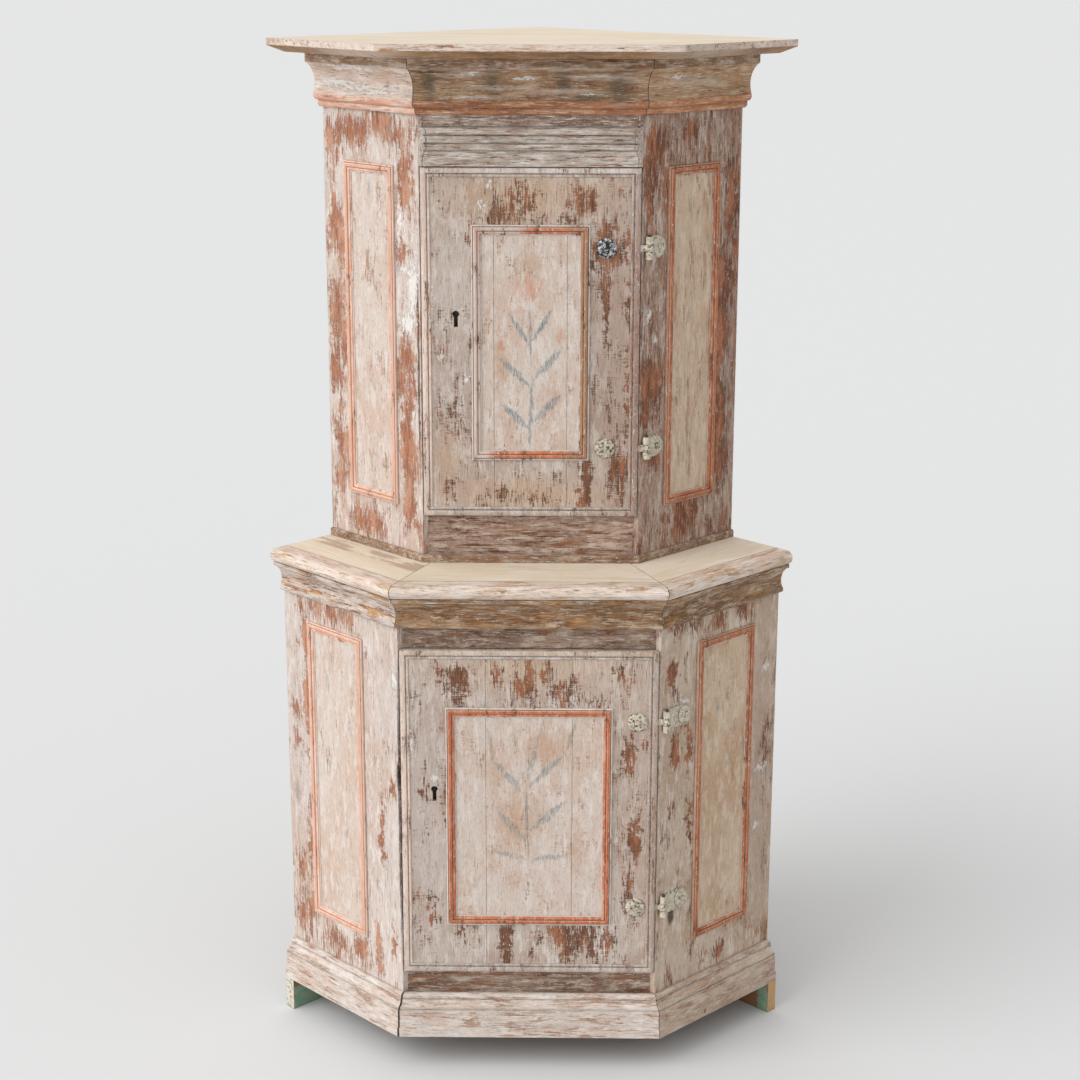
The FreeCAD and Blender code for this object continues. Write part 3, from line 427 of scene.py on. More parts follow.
def worn_paint(name, face, along, coat, wear=0.18, chalk=0.12, under=RED_BROWN, seed=0.0, grain=BOARD,
               brown=(), pale=(), dark=(), tints=(), panel=None, bands=(), top=None, mitres=None,
               iron=None, plane=None, corner_shade=CORNER_SHADE):
    """Old paint scraped down along the grain: brushed coat, thin places, the wood below, chalk, grime.

    wear and chalk: how much of the coat is gone or chipped all over
    brown, pale, dark: places where it is worn most, chalky or nearly black
    tints: places with another tone, that tone and its share
    panel: the sunk field's span, tones, tan places and brush strokes
    bands: heights between which there is another coat; the cornice's top band is painted shadow under the top
    board instead
    top: the coat of upward faces, how far out it stops at a nose strip, and how rubbed it is
    mitres: half the width, the front's plane and the width of the dark seam at each end
    iron: what hinge_iron needs, where the piece is a hinge leaf let into the painted board
    plane: where the painted side of a board lies, if its inner side is bare
    soot: how dark the painted shade, with grime, in corners and joints is
    """
    shade = Shade(name, face, along)
    flake_size, flake_draw, fleck_size, fleck_draw, scraped, lines, crusted = grain
    torn = shade.ragged(55, seed + 11)
    colour = streaked(shade, coat, seed, lines)
    for low, high, other in bands:
        above = shade.step(shade.z, low - 0.6, low + 0.6)
        below = shade.under(shade.z, high - 0.6, high + 0.6)
        colour = shade.mix(shade.times(above, below), colour,
                           streaked(shade, other, seed + low / 100, lines))

    # Places with another tone
    calm = shade.ragged(12, seed + 16)
    for places, other, share in tints:
        colour = shade.lay(shade.near(places, calm), share, colour, other)

    # Where the coat is gone, and what shows there
    flake = shade.noise(flake_size, flake_draw, 9, 0.68, seed=seed + 6)
    streak = shade.noise(2.4, 15, 4, 0.6, seed=seed + 5)
    fine = shade.noise(0.8, 10, 3, 0.6, seed=seed + 7)
    scrape = shade.noise(1.7, 8, 3, 0.6, seed=seed + 8, across=True)
    edge = shade.edge(2.4)
    gone = shade.total((flake, 2.1, 0.5), (streak, 1.2, 0.5), (fine, 0.8, 0.5), (scrape, scraped, 0.5),
                       (edge, 0.10, 0.0))
    if brown:
        gone = shade.total((gone, 1.0, 0.0), (shade.near(brown, torn), 0.54, 0.0))
    veins = shade.spots(0.42, 0.60, 1.6, 22, 3, seed=seed + 9)
    bared = shade.mix(veins, under[0], under[1])
    warm = shade.spots(0.46, 0.60, 22, 3.5, 5, 0.6, seed=seed + 10)
    bared = shade.mix(warm, bared, under[2])
    if panel:
        span, ground, tan, ornaments = panel
        field = shade.inside(span, 0.0)
        inner = streaked(shade, ground, seed + 30, 0.15)
        if tan:
            smudge = shade.near(tan, shade.ragged(60, seed + 31))
            inner = shade.lay(smudge, 0.55, inner, BARE_FIELD)
        brush = shade.spots(0.36, 0.60, 2.4, 6, 5, 0.68, seed=seed + 33)
        hand = shade.ragged(10, seed + 34)
        for leaves, paint, share in ornaments:
            left = shade.times(shade.strokes(leaves, hand), brush)
            inner = shade.lay(left, share, inner, paint)
        colour = shade.mix(field, colour, inner)
        gone = shade.math("MULTIPLY_ADD", field, -0.08, gone)
        bared = shade.lay(field, 0.85, bared, BARE_FIELD)
    limit = 0.45 - wear
    thin = shade.step(gone, limit - 0.28, limit + 0.02)
    colour = shade.lay(thin, 0.45, colour, bared)
    bare = shade.step(gone, limit - 0.04, limit + 0.04)
    colour = shade.mix(bare, colour, bared)

    # Cracks along the grain, and places that are nearly black
    crack = shade.spots(0.63, 0.69, 1.0, 36, 3, 0.6, seed=seed + 13)
    crack = shade.times(crack, 0.62)
    if panel:
        crack = shade.times(crack, shade.math("MULTIPLY_ADD", field, -0.75, 1.0))
    colour = shade.mix(crack, colour, DARK)
    if dark:
        black = shade.near(dark, shade.ragged(6, seed + 14), 0.5, 1.2)
        colour = shade.lay(black, 0.85, colour, DARK)

    # A crust of small light and dark spots, then chalk flecks
    if panel:
        crusted = shade.math("MULTIPLY_ADD", field, FIELD_CRUST - crusted, crusted)
    crust = shade.noise(4.4, 0.8 * flake_draw, 5, 0.68, seed=seed + 17)
    light = shade.step(crust, 0.56, 0.60)
    colour = shade.lay(light, crusted, colour, coat[2])
    deep = shade.under(crust, 0.40, 0.44)
    colour = shade.lay(deep, crusted, colour, under[1])
    fleck = shade.noise(fleck_size, fleck_draw, 8, 0.72, seed=seed + 15)
    chips = shade.total((fleck, 2.0, 0.5), (fine, 0.5, 0.5), (edge, 0.27, 0.0))
    if pale:
        chalky = shade.near(pale, shade.ragged(26, seed + 12))
        chips = shade.total((chips, 1.0, 0.0), (chalky, 0.48, 0.0))
    chips = shade.step(chips, 0.42 - chalk, 0.46 - chalk)
    colour = shade.lay(chips, 0.92, colour, CHALK)
    if top:
        coat_above, nose, rubbed = top
        level = shade.upward()
        upward = shade.times(level, shade.step(shade.out, nose - 0.4, nose + 0.4))
        above = swept(shade, coat_above, seed + 24)
        worn = shade.spots(0.58 - rubbed, 0.66 - rubbed, 16, 5, 7, 0.66, seed=seed + 25)
        strip = shade.apart(shade.out, nose + RUBBED_STRIP)
        worn = shade.times(worn, shade.under(strip, *RUBBED_HALF))
        above = shade.lay(worn, 0.75, above, MAUVE_BROWN[0])
        colour = shade.mix(upward, colour, above)
        away = shade.apart(shade.out, nose)
        seam = shade.times(shade.under(away, 0.5, 1.3), level)
        colour = shade.lay(seam, 0.75, colour, PINE[1])
        chips = shade.times(chips, shade.less(upward))
        bare = shade.times(bare, shade.less(upward))
    if mitres:
        half, front, *seams = mitres
        lean = shade.math("MULTIPLY_ADD", shade.out, -MITRE_SIN, MITRE_SIN * front)
        for seam, u in zip(seams, (shade.u, shade.math("SUBTRACT", 2 * half, shade.u))):
            away = shade.math("MULTIPLY_ADD", u, MITRE_COS, lean)
            away = shade.total((away, 1.0, 0.0), (fine, 4.0, 0.5))
            colour = shade.mix(shade.under(away, 0.6 * seam, 1.3 * seam), colour, DARK)

    # Relief, the bare inner side, and painted shade with grime in the corners
    height = shade.total((bare, -0.7, 0.0), (chips, 0.6, 0.0), (fine, 0.5, 0.0), (streak, 0.5, 0.0),
                         (crack, -0.5, 0.0), (crust, 0.5, 0.0))
    if plane is not None:
        deep = shade.total((shade.out, 1.0, plane + PAINT_DEEP), (streak, 9.0, 0.5))
        behind = shade.step(deep, -0.5, 0.5)
        wood, _, pores = pine(shade, seed + 40)
        colour = shade.mix(behind, colour, wood)
        height = shade.math("ADD", shade.times(height, shade.less(behind)), shade.times(pores, behind))
    colour = shade.lay(shade.corner_shade_mask(8), corner_shade, colour, GRIME_AND_SHADE)
    rough = shade.total((bare, 0.10, 0.0), (fine, 0.25, -2.3))
    if iron:
        colour, rough, height = hinge_iron(shade, colour, rough, height, *iron)
    return shade.finish(colour, rough, height, 1.5)


def bare_wood(name, face, along, seed=0.0, boards=None):
    """Old unpainted pine. boards are the start and the width of boards laid side by side along the face."""
    shade = Shade(name, face, along)
    colour, rings, pores = pine(shade, seed, boards)
    # Painted shade, with grime, deep in corners and grooves
    colour = shade.lay(shade.corner_shade_mask(16), 0.6, colour, GRIME_AND_SHADE)
    rough = shade.total((pores, 0.3, -1.9))
    height = shade.total((rings, 0.25, 0.0), (pores, 0.7, 0.0))
    return shade.finish(colour, rough, height, 0.6)


def old_iron(name, seed):
    """Dark iron with brown rust in its hollows and rubbed arrises."""
    shade = Shade(name, "front_lower")
    rust = shade.spots(0.46, 0.64, 5, 1, 4, seed=seed)
    colour = shade.mix(rust, IRON[0], IRON[1])
    colour = shade.lay(shade.edge(1.2), 0.5, colour, IRON[2])
    shade.wire(shade.surface.inputs["Metallic"], 0.7)
    pits = shade.noise(1.1, 1, 4, seed=seed + 3)
    rough = shade.total((rust, 0.3, 0.0), (pits, 0.3, -1.1))
    return shade.finish(colour, rough, pits, 0.25)


def runner_paint(name, face, node, outward, green, top, end, seed):
    """Foot runner of old pine, with green paint left on part of it and other tones on its front end.

    outward says which way along the face the front end looks, green how far from that end the paint
    starts and stops, and top the height above which it is gone.
    """
    shade = Shade(name, face, "u")
    first, last = span_of(node, face)[:2]
    if outward > 0:
        inward = shade.math("SUBTRACT", last, shade.u)
    else:
        inward = shade.math("SUBTRACT", shade.u, first)
    pores = shade.noise(0.8, 30, 2, seed=seed)
    veins = shade.spots(0.42, 0.62, 6, 12, 4, seed=seed + 1)
    wood = shade.mix(veins, EDGE_WOOD[1], BROWN[1])
    wood = shade.mix(shade.step(pores, 0.48, 0.70), wood, EDGE_WOOD[0])
    drift = shade.spots(0.44, 0.62, 12, 3, 5, 0.65, seed=seed + 2)
    paint = shade.mix(drift, SAGE, DEEP_SAGE)
    start, stop = green
    torn = shade.noise(7, 1, 5, 0.65, seed=seed + 3)
    shaken = shade.total((inward, 1.0, 0.0), (torn, 0.16 * (stop - start) + 10, 0.5))
    kept = shade.times(shade.step(shaken, start - 1, start + 1), shade.under(shaken, stop - 2, stop + 2))
    kept = shade.times(kept, shade.under(shade.z, top - 3, top + 3))
    colour = shade.mix(kept, wood, paint)
    spots = shade.spots(0.46, 0.60, 5, 2, 6, 0.68, seed=seed + 4)
    front = shade.under(inward, 0.4, 1.2)
    colour = shade.mix(front, colour, shade.mix(spots, end[0], end[1]))
    colour = shade.lay(shade.edge(2.0), 0.4, colour, end[0])
    # Painted shade, with grime, in the runner's corners
    colour = shade.lay(shade.corner_shade_mask(10), 0.5, colour, GRIME_AND_SHADE)
    rough = shade.total((kept, -0.1, 0.0), (pores, 0.3, -2.0))
    height = shade.total((kept, 0.5, 0.0), (pores, 0.6, 0.0))
    return shade.finish(colour, rough, height, 0.6)


def hinge_iron(shade, colour, rough, height, plane, end, chipped, seed, bright=None):
    """What stands out of a painted face, from its plane on: hinge iron under thick chipped cream paint.

    Up to the board's end along the face the flush leaf keeps the board's own paint. chipped is how much
    of the cream is lost, and bright the height above which the rosette has lost all of it.
    """
    spots = shade.noise(4.5, 1, 6, 0.7, seed=seed)
    flake = shade.total((spots, 1.8, 0.5), (shade.edge(1.2), 0.2, 0.0))
    chip = shade.step(flake, 0.40 - chipped, 0.46 - chipped)
    drift = shade.spots(0.42, 0.58, 8, 1, 4, seed=seed + 2)
    cream = shade.mix(drift, *HINGE_CREAM)
    pale = shade.spots(0.56, 0.62, 3, 1, 4, 0.6, seed=seed + 3)
    cream = shade.mix(pale, cream, CHALK)
    pits = shade.spots(0.42, 0.6, 1.5, 1, 3, seed=seed + 4)
    metal = shade.mix(chip, cream, shade.mix(pits, *HINGE_RUST))
    bare = shade.times(chip, 0.5)
    on_board = shade.under(shade.u, end - 1, end + 1)
    flush = shade.times(on_board, shade.step(shade.out, plane - 0.7, plane - 0.3))
    if bright:
        dome = shade.times(on_board, shade.step(shade.z, bright - 1, bright + 1))
        # Bare dome: spots of dark and bright steel, the bright spots partly painted glints
        gleam = shade.spots(0.44, 0.62, 7, 1, 6, 0.66, seed=seed + 6)
        metal = shade.mix(dome, metal, shade.mix(gleam, *STEEL_AND_GLINTS))
        bare = shade.math("MAXIMUM", bare, shade.times(dome, 0.75))
    raised = shade.less(flush)
    # Painted shade round the foot of the raised iron and between its parts
    metal = shade.lay(shade.corner_shade_mask(4), 0.6, metal, GRIME_AND_SHADE)
    bare = shade.times(bare, raised)
    shade.wire(shade.surface.inputs["Metallic"], bare)
    lumps = shade.noise(2.2, 1, 3, seed=seed + 7)
    relief = shade.total((chip, -0.5, 0.0), (lumps, 0.7, 0.0))
    height = shade.math("ADD", shade.times(height, flush), shade.times(relief, raised))
    rough = shade.math("MULTIPLY_ADD", bare, -0.32, rough)
    return shade.mix(raised, colour, metal), rough, height


def panel_rim(name, face, node, inner, outer, under, wear, clay_wide, faded, browned, seed):
    """Panel moulding: pale fillet, terracotta ridges as far out as clay_wide, the coat beyond, all rubbed.

    inner are the terracotta's tones, outer the coat's and under the wood's. faded are places where the
    terracotta is mostly lost under the coat, browned those where it is rubbed dull.
    """
    shade = Shade(name, face, "z")
    ripple = shade.noise(9, 3, 4, 0.6, seed=seed + 1)
    out = shade.total((shade.beyond(span_of(node, face), RIM_WIDE), 1.0, 0.0), (ripple, 3.0, 0.5))
    coat = streaked(shade, outer, seed)
    clay = streaked(shade, inner, seed + 14, 0.14)
    clay = shade.lay(shade.step(out, 5.4, 6.4), 0.5, clay, inner[1])
    clay = shade.lay(shade.step(out, 12.6, 13.6), 0.6, clay, inner[2])
    if faded:
        lost = shade.near(faded, shade.ragged(30, seed + 7), 0.6, 1.6)
        paler = shade.mix(0.6, coat, outer[2])
        clay = shade.lay(lost, 0.85, clay, paler)
    if browned:
        dull = shade.near(browned, shade.ragged(30, seed + 8), 0.6, 1.6)
        clay = shade.lay(dull, 0.8, clay, BROWN[0])
    valley = shade.apart(out, 8.6)
    between = shade.under(valley, 0.5, 1.3)
    clay = shade.lay(between, 0.32, clay, inner[2])
    colour = shade.mix(shade.step(out, 1.2, 2.4), outer[2], clay)
    colour = shade.mix(shade.step(out, clay_wide, clay_wide + 1.2), colour, coat)
    line = shade.step(out, clay_wide + 0.8, clay_wide + 2.2)
    colour = shade.lay(line, 0.5, colour, CHALK)
    fine = shade.noise(0.8, 12, 3, 0.6, seed=seed + 3)
    edge = shade.edge(1.2)
    flake = shade.noise(14, 4, 9, 0.68, seed=seed + 4)
    gone = shade.total((flake, 2.1, 0.5), (fine, 0.9, 0.5), (edge, 0.05, 0.0))
    limit = 0.40 - wear
    bared = shade.mix(shade.step(fine, 0.42, 0.58), under[0], under[1])
    thin = shade.step(gone, limit - 0.26, limit)
    colour = shade.lay(thin, 0.22, colour, under[2])
    gone = shade.step(gone, limit - 0.04, limit + 0.04)
    colour = shade.mix(gone, colour, bared)
    fleck = shade.noise(3.2, 4, 8, 0.72, seed=seed + 6)
    chips = shade.total((fleck, 2.0, 0.5), (edge, 0.22, 0.0), (fine, 0.5, 0.5))
    chips = shade.step(chips, 0.18, 0.23)
    colour = shade.lay(chips, 0.85, colour, CHALK)
    # Painted shade in the moulding's grooves, in the wood's dark tone
    colour = shade.lay(shade.corner_shade_mask(3), 0.26, colour, under[1])
    rough = shade.total((gone, 0.1, 0.0), (fine, 0.25, -2.3))
    height = shade.total((gone, -0.5, 0.0), (chips, 0.5, 0.0), (fine, 0.4, 0.0))
    return shade.finish(colour, rough, height, 1.2)


# Places on a face: middle along and up it, half width and half height
LOWER_DOOR_WORN = [
    (72, 768, 9, 20), (110, 748, 22, 34), (172, 770, 9, 14), (230, 752, 32, 32), (290, 735, 22, 18),
    (392, 775, 9, 17), (315, 710, 68, 6), (47, 538, 9, 22), (60, 320, 7, 34), (87, 495, 5, 18),
    (412, 610, 10, 36), (445, 640, 7, 18), (422, 460, 10, 64), (408, 340, 6, 34), (320, 255, 74, 20),
    (350, 228, 9, 16), (112, 260, 10, 12), (190, 235, 12, 40), (300, 235, 12, 40),
]
LOWER_DOOR_TAN = [
    (175, 585, 28, 40), (270, 625, 62, 28), (212, 485, 52, 40), (202, 365, 10, 14), (127, 355, 10, 12),
    (160, 390, 12, 12), (320, 420, 16, 40),
]
UPPER_DOOR_WORN = [
    (137, 1567, 20, 26), (187, 1575, 20, 22), (277, 1582, 26, 30), (327, 1492, 25, 56), (347, 1100, 20, 62),
    (325, 1375, 7, 50), (160, 1550, 70, 5), (190, 1052, 44, 9), (290, 1060, 12, 50), (372, 1330, 9, 200),
]
UPPER_DOOR_PALE = [
    (122, 1613, 7, 6), (107, 1575, 6, 7), (37, 1305, 6, 10), (80, 1270, 6, 7), (17, 1405, 6, 38),
]
UPPER_LEFT_WORN = [
    (25, 1520, 15, 46), (45, 1500, 9, 52), (30, 1350, 21, 56), (45, 1305, 9, 34), (30, 1240, 25, 32),
    (37, 1180, 11, 28), (30, 1125, 15, 32), (32, 1050, 19, 36), (25, 1672, 17, 30), (45, 1700, 13, 15),
    (85, 1690, 40, 20), (165, 1705, 40, 22), (205, 1690, 40, 16), (225, 1630, 16, 62), (220, 1580, 13, 15),
    (215, 1490, 9, 20), (225, 1300, 18, 40), (221, 1190, 20, 110), (226, 1030, 15, 44), (110, 978, 52, 24),
]
UPPER_LEFT_PALE = [
    (226, 1362, 21, 18), (200, 1340, 13, 9), (238, 1424, 13, 56), (205, 1540, 6, 42), (215, 1458, 18, 5),
]
LOWER_LEFT_WORN = [
    (58, 770, 15, 42), (62, 715, 9, 12), (58, 655, 9, 62), (30, 615, 15, 20), (25, 555, 13, 22),
    (62, 570, 7, 50), (60, 370, 10, 64), (30, 300, 26, 22), (42, 215, 28, 64), (256, 224, 18, 30),
    (262, 176, 15, 20), (212, 180, 32, 22), (120, 832, 66, 18), (180, 832, 32, 20), (270, 512, 7, 7),
    (270, 440, 6, 60), (302, 530, 9, 22), (300, 232, 10, 32), (120, 175, 50, 26),
]
UPPER_RIGHT_WORN = [
    (30, 1670, 29, 36), (15, 1610, 15, 62), (25, 1255, 25, 56), (20, 1205, 20, 22), (35, 1120, 17, 22),
    (208, 1350, 24, 116), (200, 1275, 17, 76), (226, 1430, 19, 64), (215, 1190, 21, 64), (236, 1560, 13, 90),
    (120, 1695, 32, 16), (120, 1005, 42, 22), (120, 975, 26, 14), (220, 1090, 20, 40), (60, 1600, 8, 40),
]
LOWER_RIGHT_WORN = [
    (36, 755, 10, 46), (40, 615, 11, 36), (80, 600, 9, 62), (85, 450, 7, 62), (38, 495, 11, 8),
    (175, 168, 23, 15), (130, 165, 13, 11), (60, 838, 52, 9), (220, 835, 22, 20), (150, 830, 30, 14),
]
LOWER_RIGHT_PALE = [
    (65, 685, 19, 22), (40, 325, 22, 13), (285, 510, 21, 7), (250, 695, 7, 11), (290, 710, 9, 9),
    (275, 395, 11, 8),
]

# Faint folk sprays, each brush leaf from its tail to its tip (along, up) with its width
UPPER_LEAVES = [
    (190, 1108, 196, 1290, 8), (196, 1285, 190, 1405, 7), (193, 1176, 138, 1226, 15),
    (193, 1186, 250, 1244, 15), (195, 1252, 134, 1310, 14), (195, 1262, 252, 1328, 14),
    (193, 1326, 152, 1390, 11), (193, 1332, 234, 1396, 11), (190, 1122, 150, 1100, 10),
    (190, 1120, 232, 1096, 10),
]
UPPER_BLOOM = [
    (190, 1400, 190, 1462, 20), (186, 1402, 164, 1450, 13), (194, 1402, 216, 1450, 13),
    (146, 1312, 138, 1340, 14), (240, 1330, 248, 1360, 14),
]
LOWER_BLADES = [
    (232, 400, 226, 560, 8), (228, 440, 172, 506, 16), (230, 460, 300, 524, 16), (227, 530, 168, 600, 14),
    (228, 546, 296, 612, 14), (226, 556, 250, 640, 11), (232, 410, 160, 424, 12), (232, 406, 306, 418, 12),
]
LOWER_STEMS = [
    (170, 592, 158, 662, 10), (298, 612, 318, 684, 10), (246, 630, 262, 690, 9), (210, 600, 204, 664, 9),
]
SIDE_DABS = {
    "upper_left": [(120, 1610, 126, 1572, 10), (128, 1440, 142, 1404, 9), (118, 1250, 136, 1226, 9),
                   (132, 1120, 122, 1084, 9)],
    "upper_right": [(118, 1580, 130, 1540, 10), (132, 1390, 120, 1352, 9), (122, 1180, 136, 1146, 9)],
    "lower_left": [(120, 716, 128, 676, 12), (186, 642, 178, 610, 10), (112, 560, 124, 520, 10),
                   (176, 430, 164, 392, 10), (130, 318, 142, 286, 9)],
    "lower_right": [(150, 690, 162, 650, 11), (190, 560, 178, 524, 10), (148, 420, 160, 384, 10),
                    (184, 300, 172, 268, 9)],
}


def paint_case():
    """Paint of the doors, the canted sides, the rails and the panel mouldings."""
    def sunk(node, face):
        """Span of the field inside a panel moulding."""
        u0, u1, z0, z1 = span_of(node, face)
        inset = RIM_WIDE - FIELD_LAP
        return (u0 + inset, u1 - inset, z0 + inset, z1 - inset)

    doors = {
        "lower": {
            "seed": 3.0, "brown": LOWER_DOOR_WORN, "pale": [(62, 566, 7, 9), (20, 640, 5, 30)],
            "tints": [([(230, 770, 180, 40)], TAN[0], 0.45), ([(430, 500, 40, 320)], MAUVE_BROWN[0], 0.45),
                      ([(50, 480, 44, 260)], LILAC, 0.6)],
            "panel": (sunk("lower_door_panel_moulding", "front_lower"), FIELD, LOWER_DOOR_TAN,
                      [(LOWER_BLADES, BLUE_GREY, 0.75), (LOWER_STEMS, OLIVE, 0.6)]),
        },
        "upper": {
            "seed": 8.0, "brown": UPPER_DOOR_WORN, "pale": UPPER_DOOR_PALE,
            "tints": [([(200, 1590, 150, 50), (44, 1110, 24, 74), (190, 1060, 150, 30)], TAN[0], 0.55),
                      ([(345, 1300, 40, 330)], MAUVE_BROWN[1], 0.55), ([(50, 1330, 44, 200)], LILAC, 0.4)],
            "panel": (sunk("upper_door_panel_moulding", "front_upper"), FIELD,
                      [(190, 1475, 16, 26), (235, 1235, 14, 30), (140, 1300, 10, 60)],
                      [(UPPER_LEAVES, BLUE_GREY, 0.95), (UPPER_BLOOM, ROSE, 0.6)]),
        },
    }
    # Hinge leaves: the door's end along its face, lost paint, seed, and above what height a rosette is bare
    leaves = {"lower": (466, 0.33, 131.0), "upper": (388, 0.35, 141.0, 1330)}
    for case, marks in doors.items():
        face = f"front_{case}"
        put(worn_paint(f"{case}_door_paint", face, "z", GREIGE, 0.12, 0.18, grain=DOOR,
                       plane=PLANES[face], corner_shade=DOOR_CORNER_SHADE, **marks), f"{case}_door_boards")
        put(worn_paint(f"{case}_hinge_paint", face, "z", GREIGE, 0.12, 0.18, grain=DOOR,
                       iron=(PLANES[face], *leaves[case]), **marks), f"{case}_door_hinge_leaves")

    # Canted sides: coat, wood, wear, chalk, worn, chalky and dark places, seed
    sides = {
        # The left sides' dark places are painted shade: a line in the gap beside the door, and on the lower
        # side the inside of the finger notch
        "upper_left": (PINKISH, LIGHT_RED, 0.22, 0.20, UPPER_LEFT_WORN, UPPER_LEFT_PALE,
                       [(252, 1290, 3, 190)], 13.0),
        "upper_right": (MAUVE_BROWN, DEEP_RED, 0.25, 0.18, UPPER_RIGHT_WORN,
                        [(38, 1337, 9, 7), (20, 1380, 7, 11)], (), 18.0),
        "lower_left": (PINKISH, LIGHT_RED, 0.10, 0.18, LOWER_LEFT_WORN, [(310, 745, 8, 22)],
                       [(321, 500, 4.5, 310), (319, 566, 6, 30)], 23.0),
        "lower_right": (WARM_GREY, DEEP_RED, 0.14, 0.16, LOWER_RIGHT_WORN, LOWER_RIGHT_PALE,
                        [(40, 285, 10, 20)], 28.0),
    }
    tints = {
        "lower_left": [([(22, 452, 7, 24)], SMOKE, 0.6),
                       ([(285, 700, 26, 120), (290, 400, 20, 90), (28, 560, 24, 260)], LILAC, 0.45)],
        "lower_right": [([(312, 165, 12, 38)], HONEY[1], 0.85), ([(180, 640, 30, 90)], LILAC, 0.35),
                        ([(288, 500, 30, 330)], MAUVE_BROWN[0], 0.6)],
        "upper_right": [([(118, 1500, 22, 110)], FRIEZE_GREY[1], 0.4),
                        ([(234, 1330, 24, 340)], DEEP_RED[1], 0.35)],
    }
    for name, (coat, under, wear, chalk, brown, pale, dark, seed) in sides.items():
        case, side = name.split("_")
        face = f"{side}_{case}"
        ground = FIELD if side == "left" else FIELD_TAN
        panel = (sunk(f"{name}_panel_moulding", face), ground, [], [(SIDE_DABS[name], BLUE_GREY, 0.55)])
        grain = GRAINED if name == "upper_right" else BOARD
        put(worn_paint(f"{name}_paint", face, "z", coat, wear, chalk, under, seed, grain, brown, pale, dark,
                       tints.get(name, ()), panel, plane=PLANES[face]), f"{name}_side")

    rails = {"lower_top": (RAIL_BROWN, 33.0), "lower_bottom": (RAIL_BROWN, 36.0),
             "upper_bottom": (MAUVE_BROWN, 39.0), "upper_top": (MAUVE_BROWN, 42.0)}
    for name, (coat, seed) in rails.items():
        face = "front_" + name.split("_")[0]
        put(worn_paint(f"{name}_rail_paint", face, "u", coat, 0.24, 0.18, seed=seed, grain=TRIM,
                       plane=PLANES[face] + RAIL_BACK), f"{name}_rail")

    # Panel mouldings: face, terracotta, coat, wood, wear, how far out terracotta goes, faded, dull, seed
    rims = {
        "lower_door": ("front_lower", TERRACOTTA, GREIGE, RED_BROWN, 0.12, 14.2, [], [], 51.0),
        "upper_door": ("front_upper", TERRACOTTA, GREIGE, RED_BROWN, 0.16, 14.2,
                       [(97, 1330, 36, 200), (140, 1533, 40, 12), (97, 1120, 24, 60)],
                       [(286, 1320, 36, 220), (150, 1085, 40, 24)], 54.0),
        "lower_left": ("left_lower", SALMON, PINKISH, LIGHT_RED, 0.08, 17.8, [], [], 57.0),
        "lower_right": ("right_lower", DULL_CLAY, WARM_GREY, DEEP_RED, 0.12, 17.2, [], [], 60.0),
        "upper_left": ("left_upper", SALMON, PINKISH, LIGHT_RED, 0.14, 17.8, [], [], 63.0),
        "upper_right": ("right_upper", DULL_CLAY, MAUVE_BROWN, DEEP_RED, 0.16, 17.2, [], [], 66.0),
    }
    for name, (face, clay, coat, under, wear, clay_wide, faded, browned, seed) in rims.items():
        node = f"{name}_panel_moulding"
        put(panel_rim(f"{node}_paint", face, node, clay, coat, under, wear, clay_wide, faded, browned,
                      seed), node)

    # Door beads: seed, the coat along the top, tints
    beads = {
        # On the lower bead the dark strip along its left edge is painted shade in the gap beside the side
        "lower": (71.0, (797, 812, WARM_GREY), [
            ([(456, 480, 14, 320)], MAUVE_BROWN[0], 0.8), ([(10, 490, 12, 330)], SALMON[2], 0.9),
            ([(0, 490, 3, 330)], DARK, 0.45)]),
        "upper": (74.0, (1628, 1642, PLINTH_WHITE), [
            ([(378, 1310, 14, 330)], LIGHT_RED[1], 0.68), ([(10, 1330, 14, 320)], SALMON[2], 0.95)]),
    }
    for case, (seed, head, places) in beads.items():
        put(worn_paint(f"{case}_bead_paint", f"front_{case}", "z", GREIGE, 0.12, 0.24, seed=seed,
                       tints=places, bands=[head], corner_shade=DOOR_CORNER_SHADE), f"{case}_door_bead")


# Smoke stains and pale smears on the cornice
CORNICE_MARKS = {
    "left": {
        "tints": [([(60, 1792, 60, 10), (200, 1790, 46, 10)], TAN[0], 0.5)],
        "pale": [(150, 1764, 110, 6), (60, 1772, 80, 6), (120, 1800, 90, 4)],
    },
    "front": {
        "tints": [([(22, 1778, 10, 26), (128, 1784, 13, 22), (250, 1782, 12, 22), (345, 1772, 20, 24),
                    (292, 1758, 26, 8)], SMOKE, 0.75),
                  ([(78, 1796, 40, 5), (150, 1774, 70, 4), (240, 1768, 60, 4), (310, 1792, 50, 5),
                    (100, 1758, 60, 3), (200, 1806, 170, 3)], CHALK, 0.34)],
        "pale": [(182, 1790, 30, 3), (300, 1764, 40, 2), (90, 1797, 24, 3)],
    },
    "right": {"tints": [([(120, 1780, 60, 10)], FRIEZE_GREY[0], 0.4)], "pale": [(60, 1790, 30, 4)]},
}


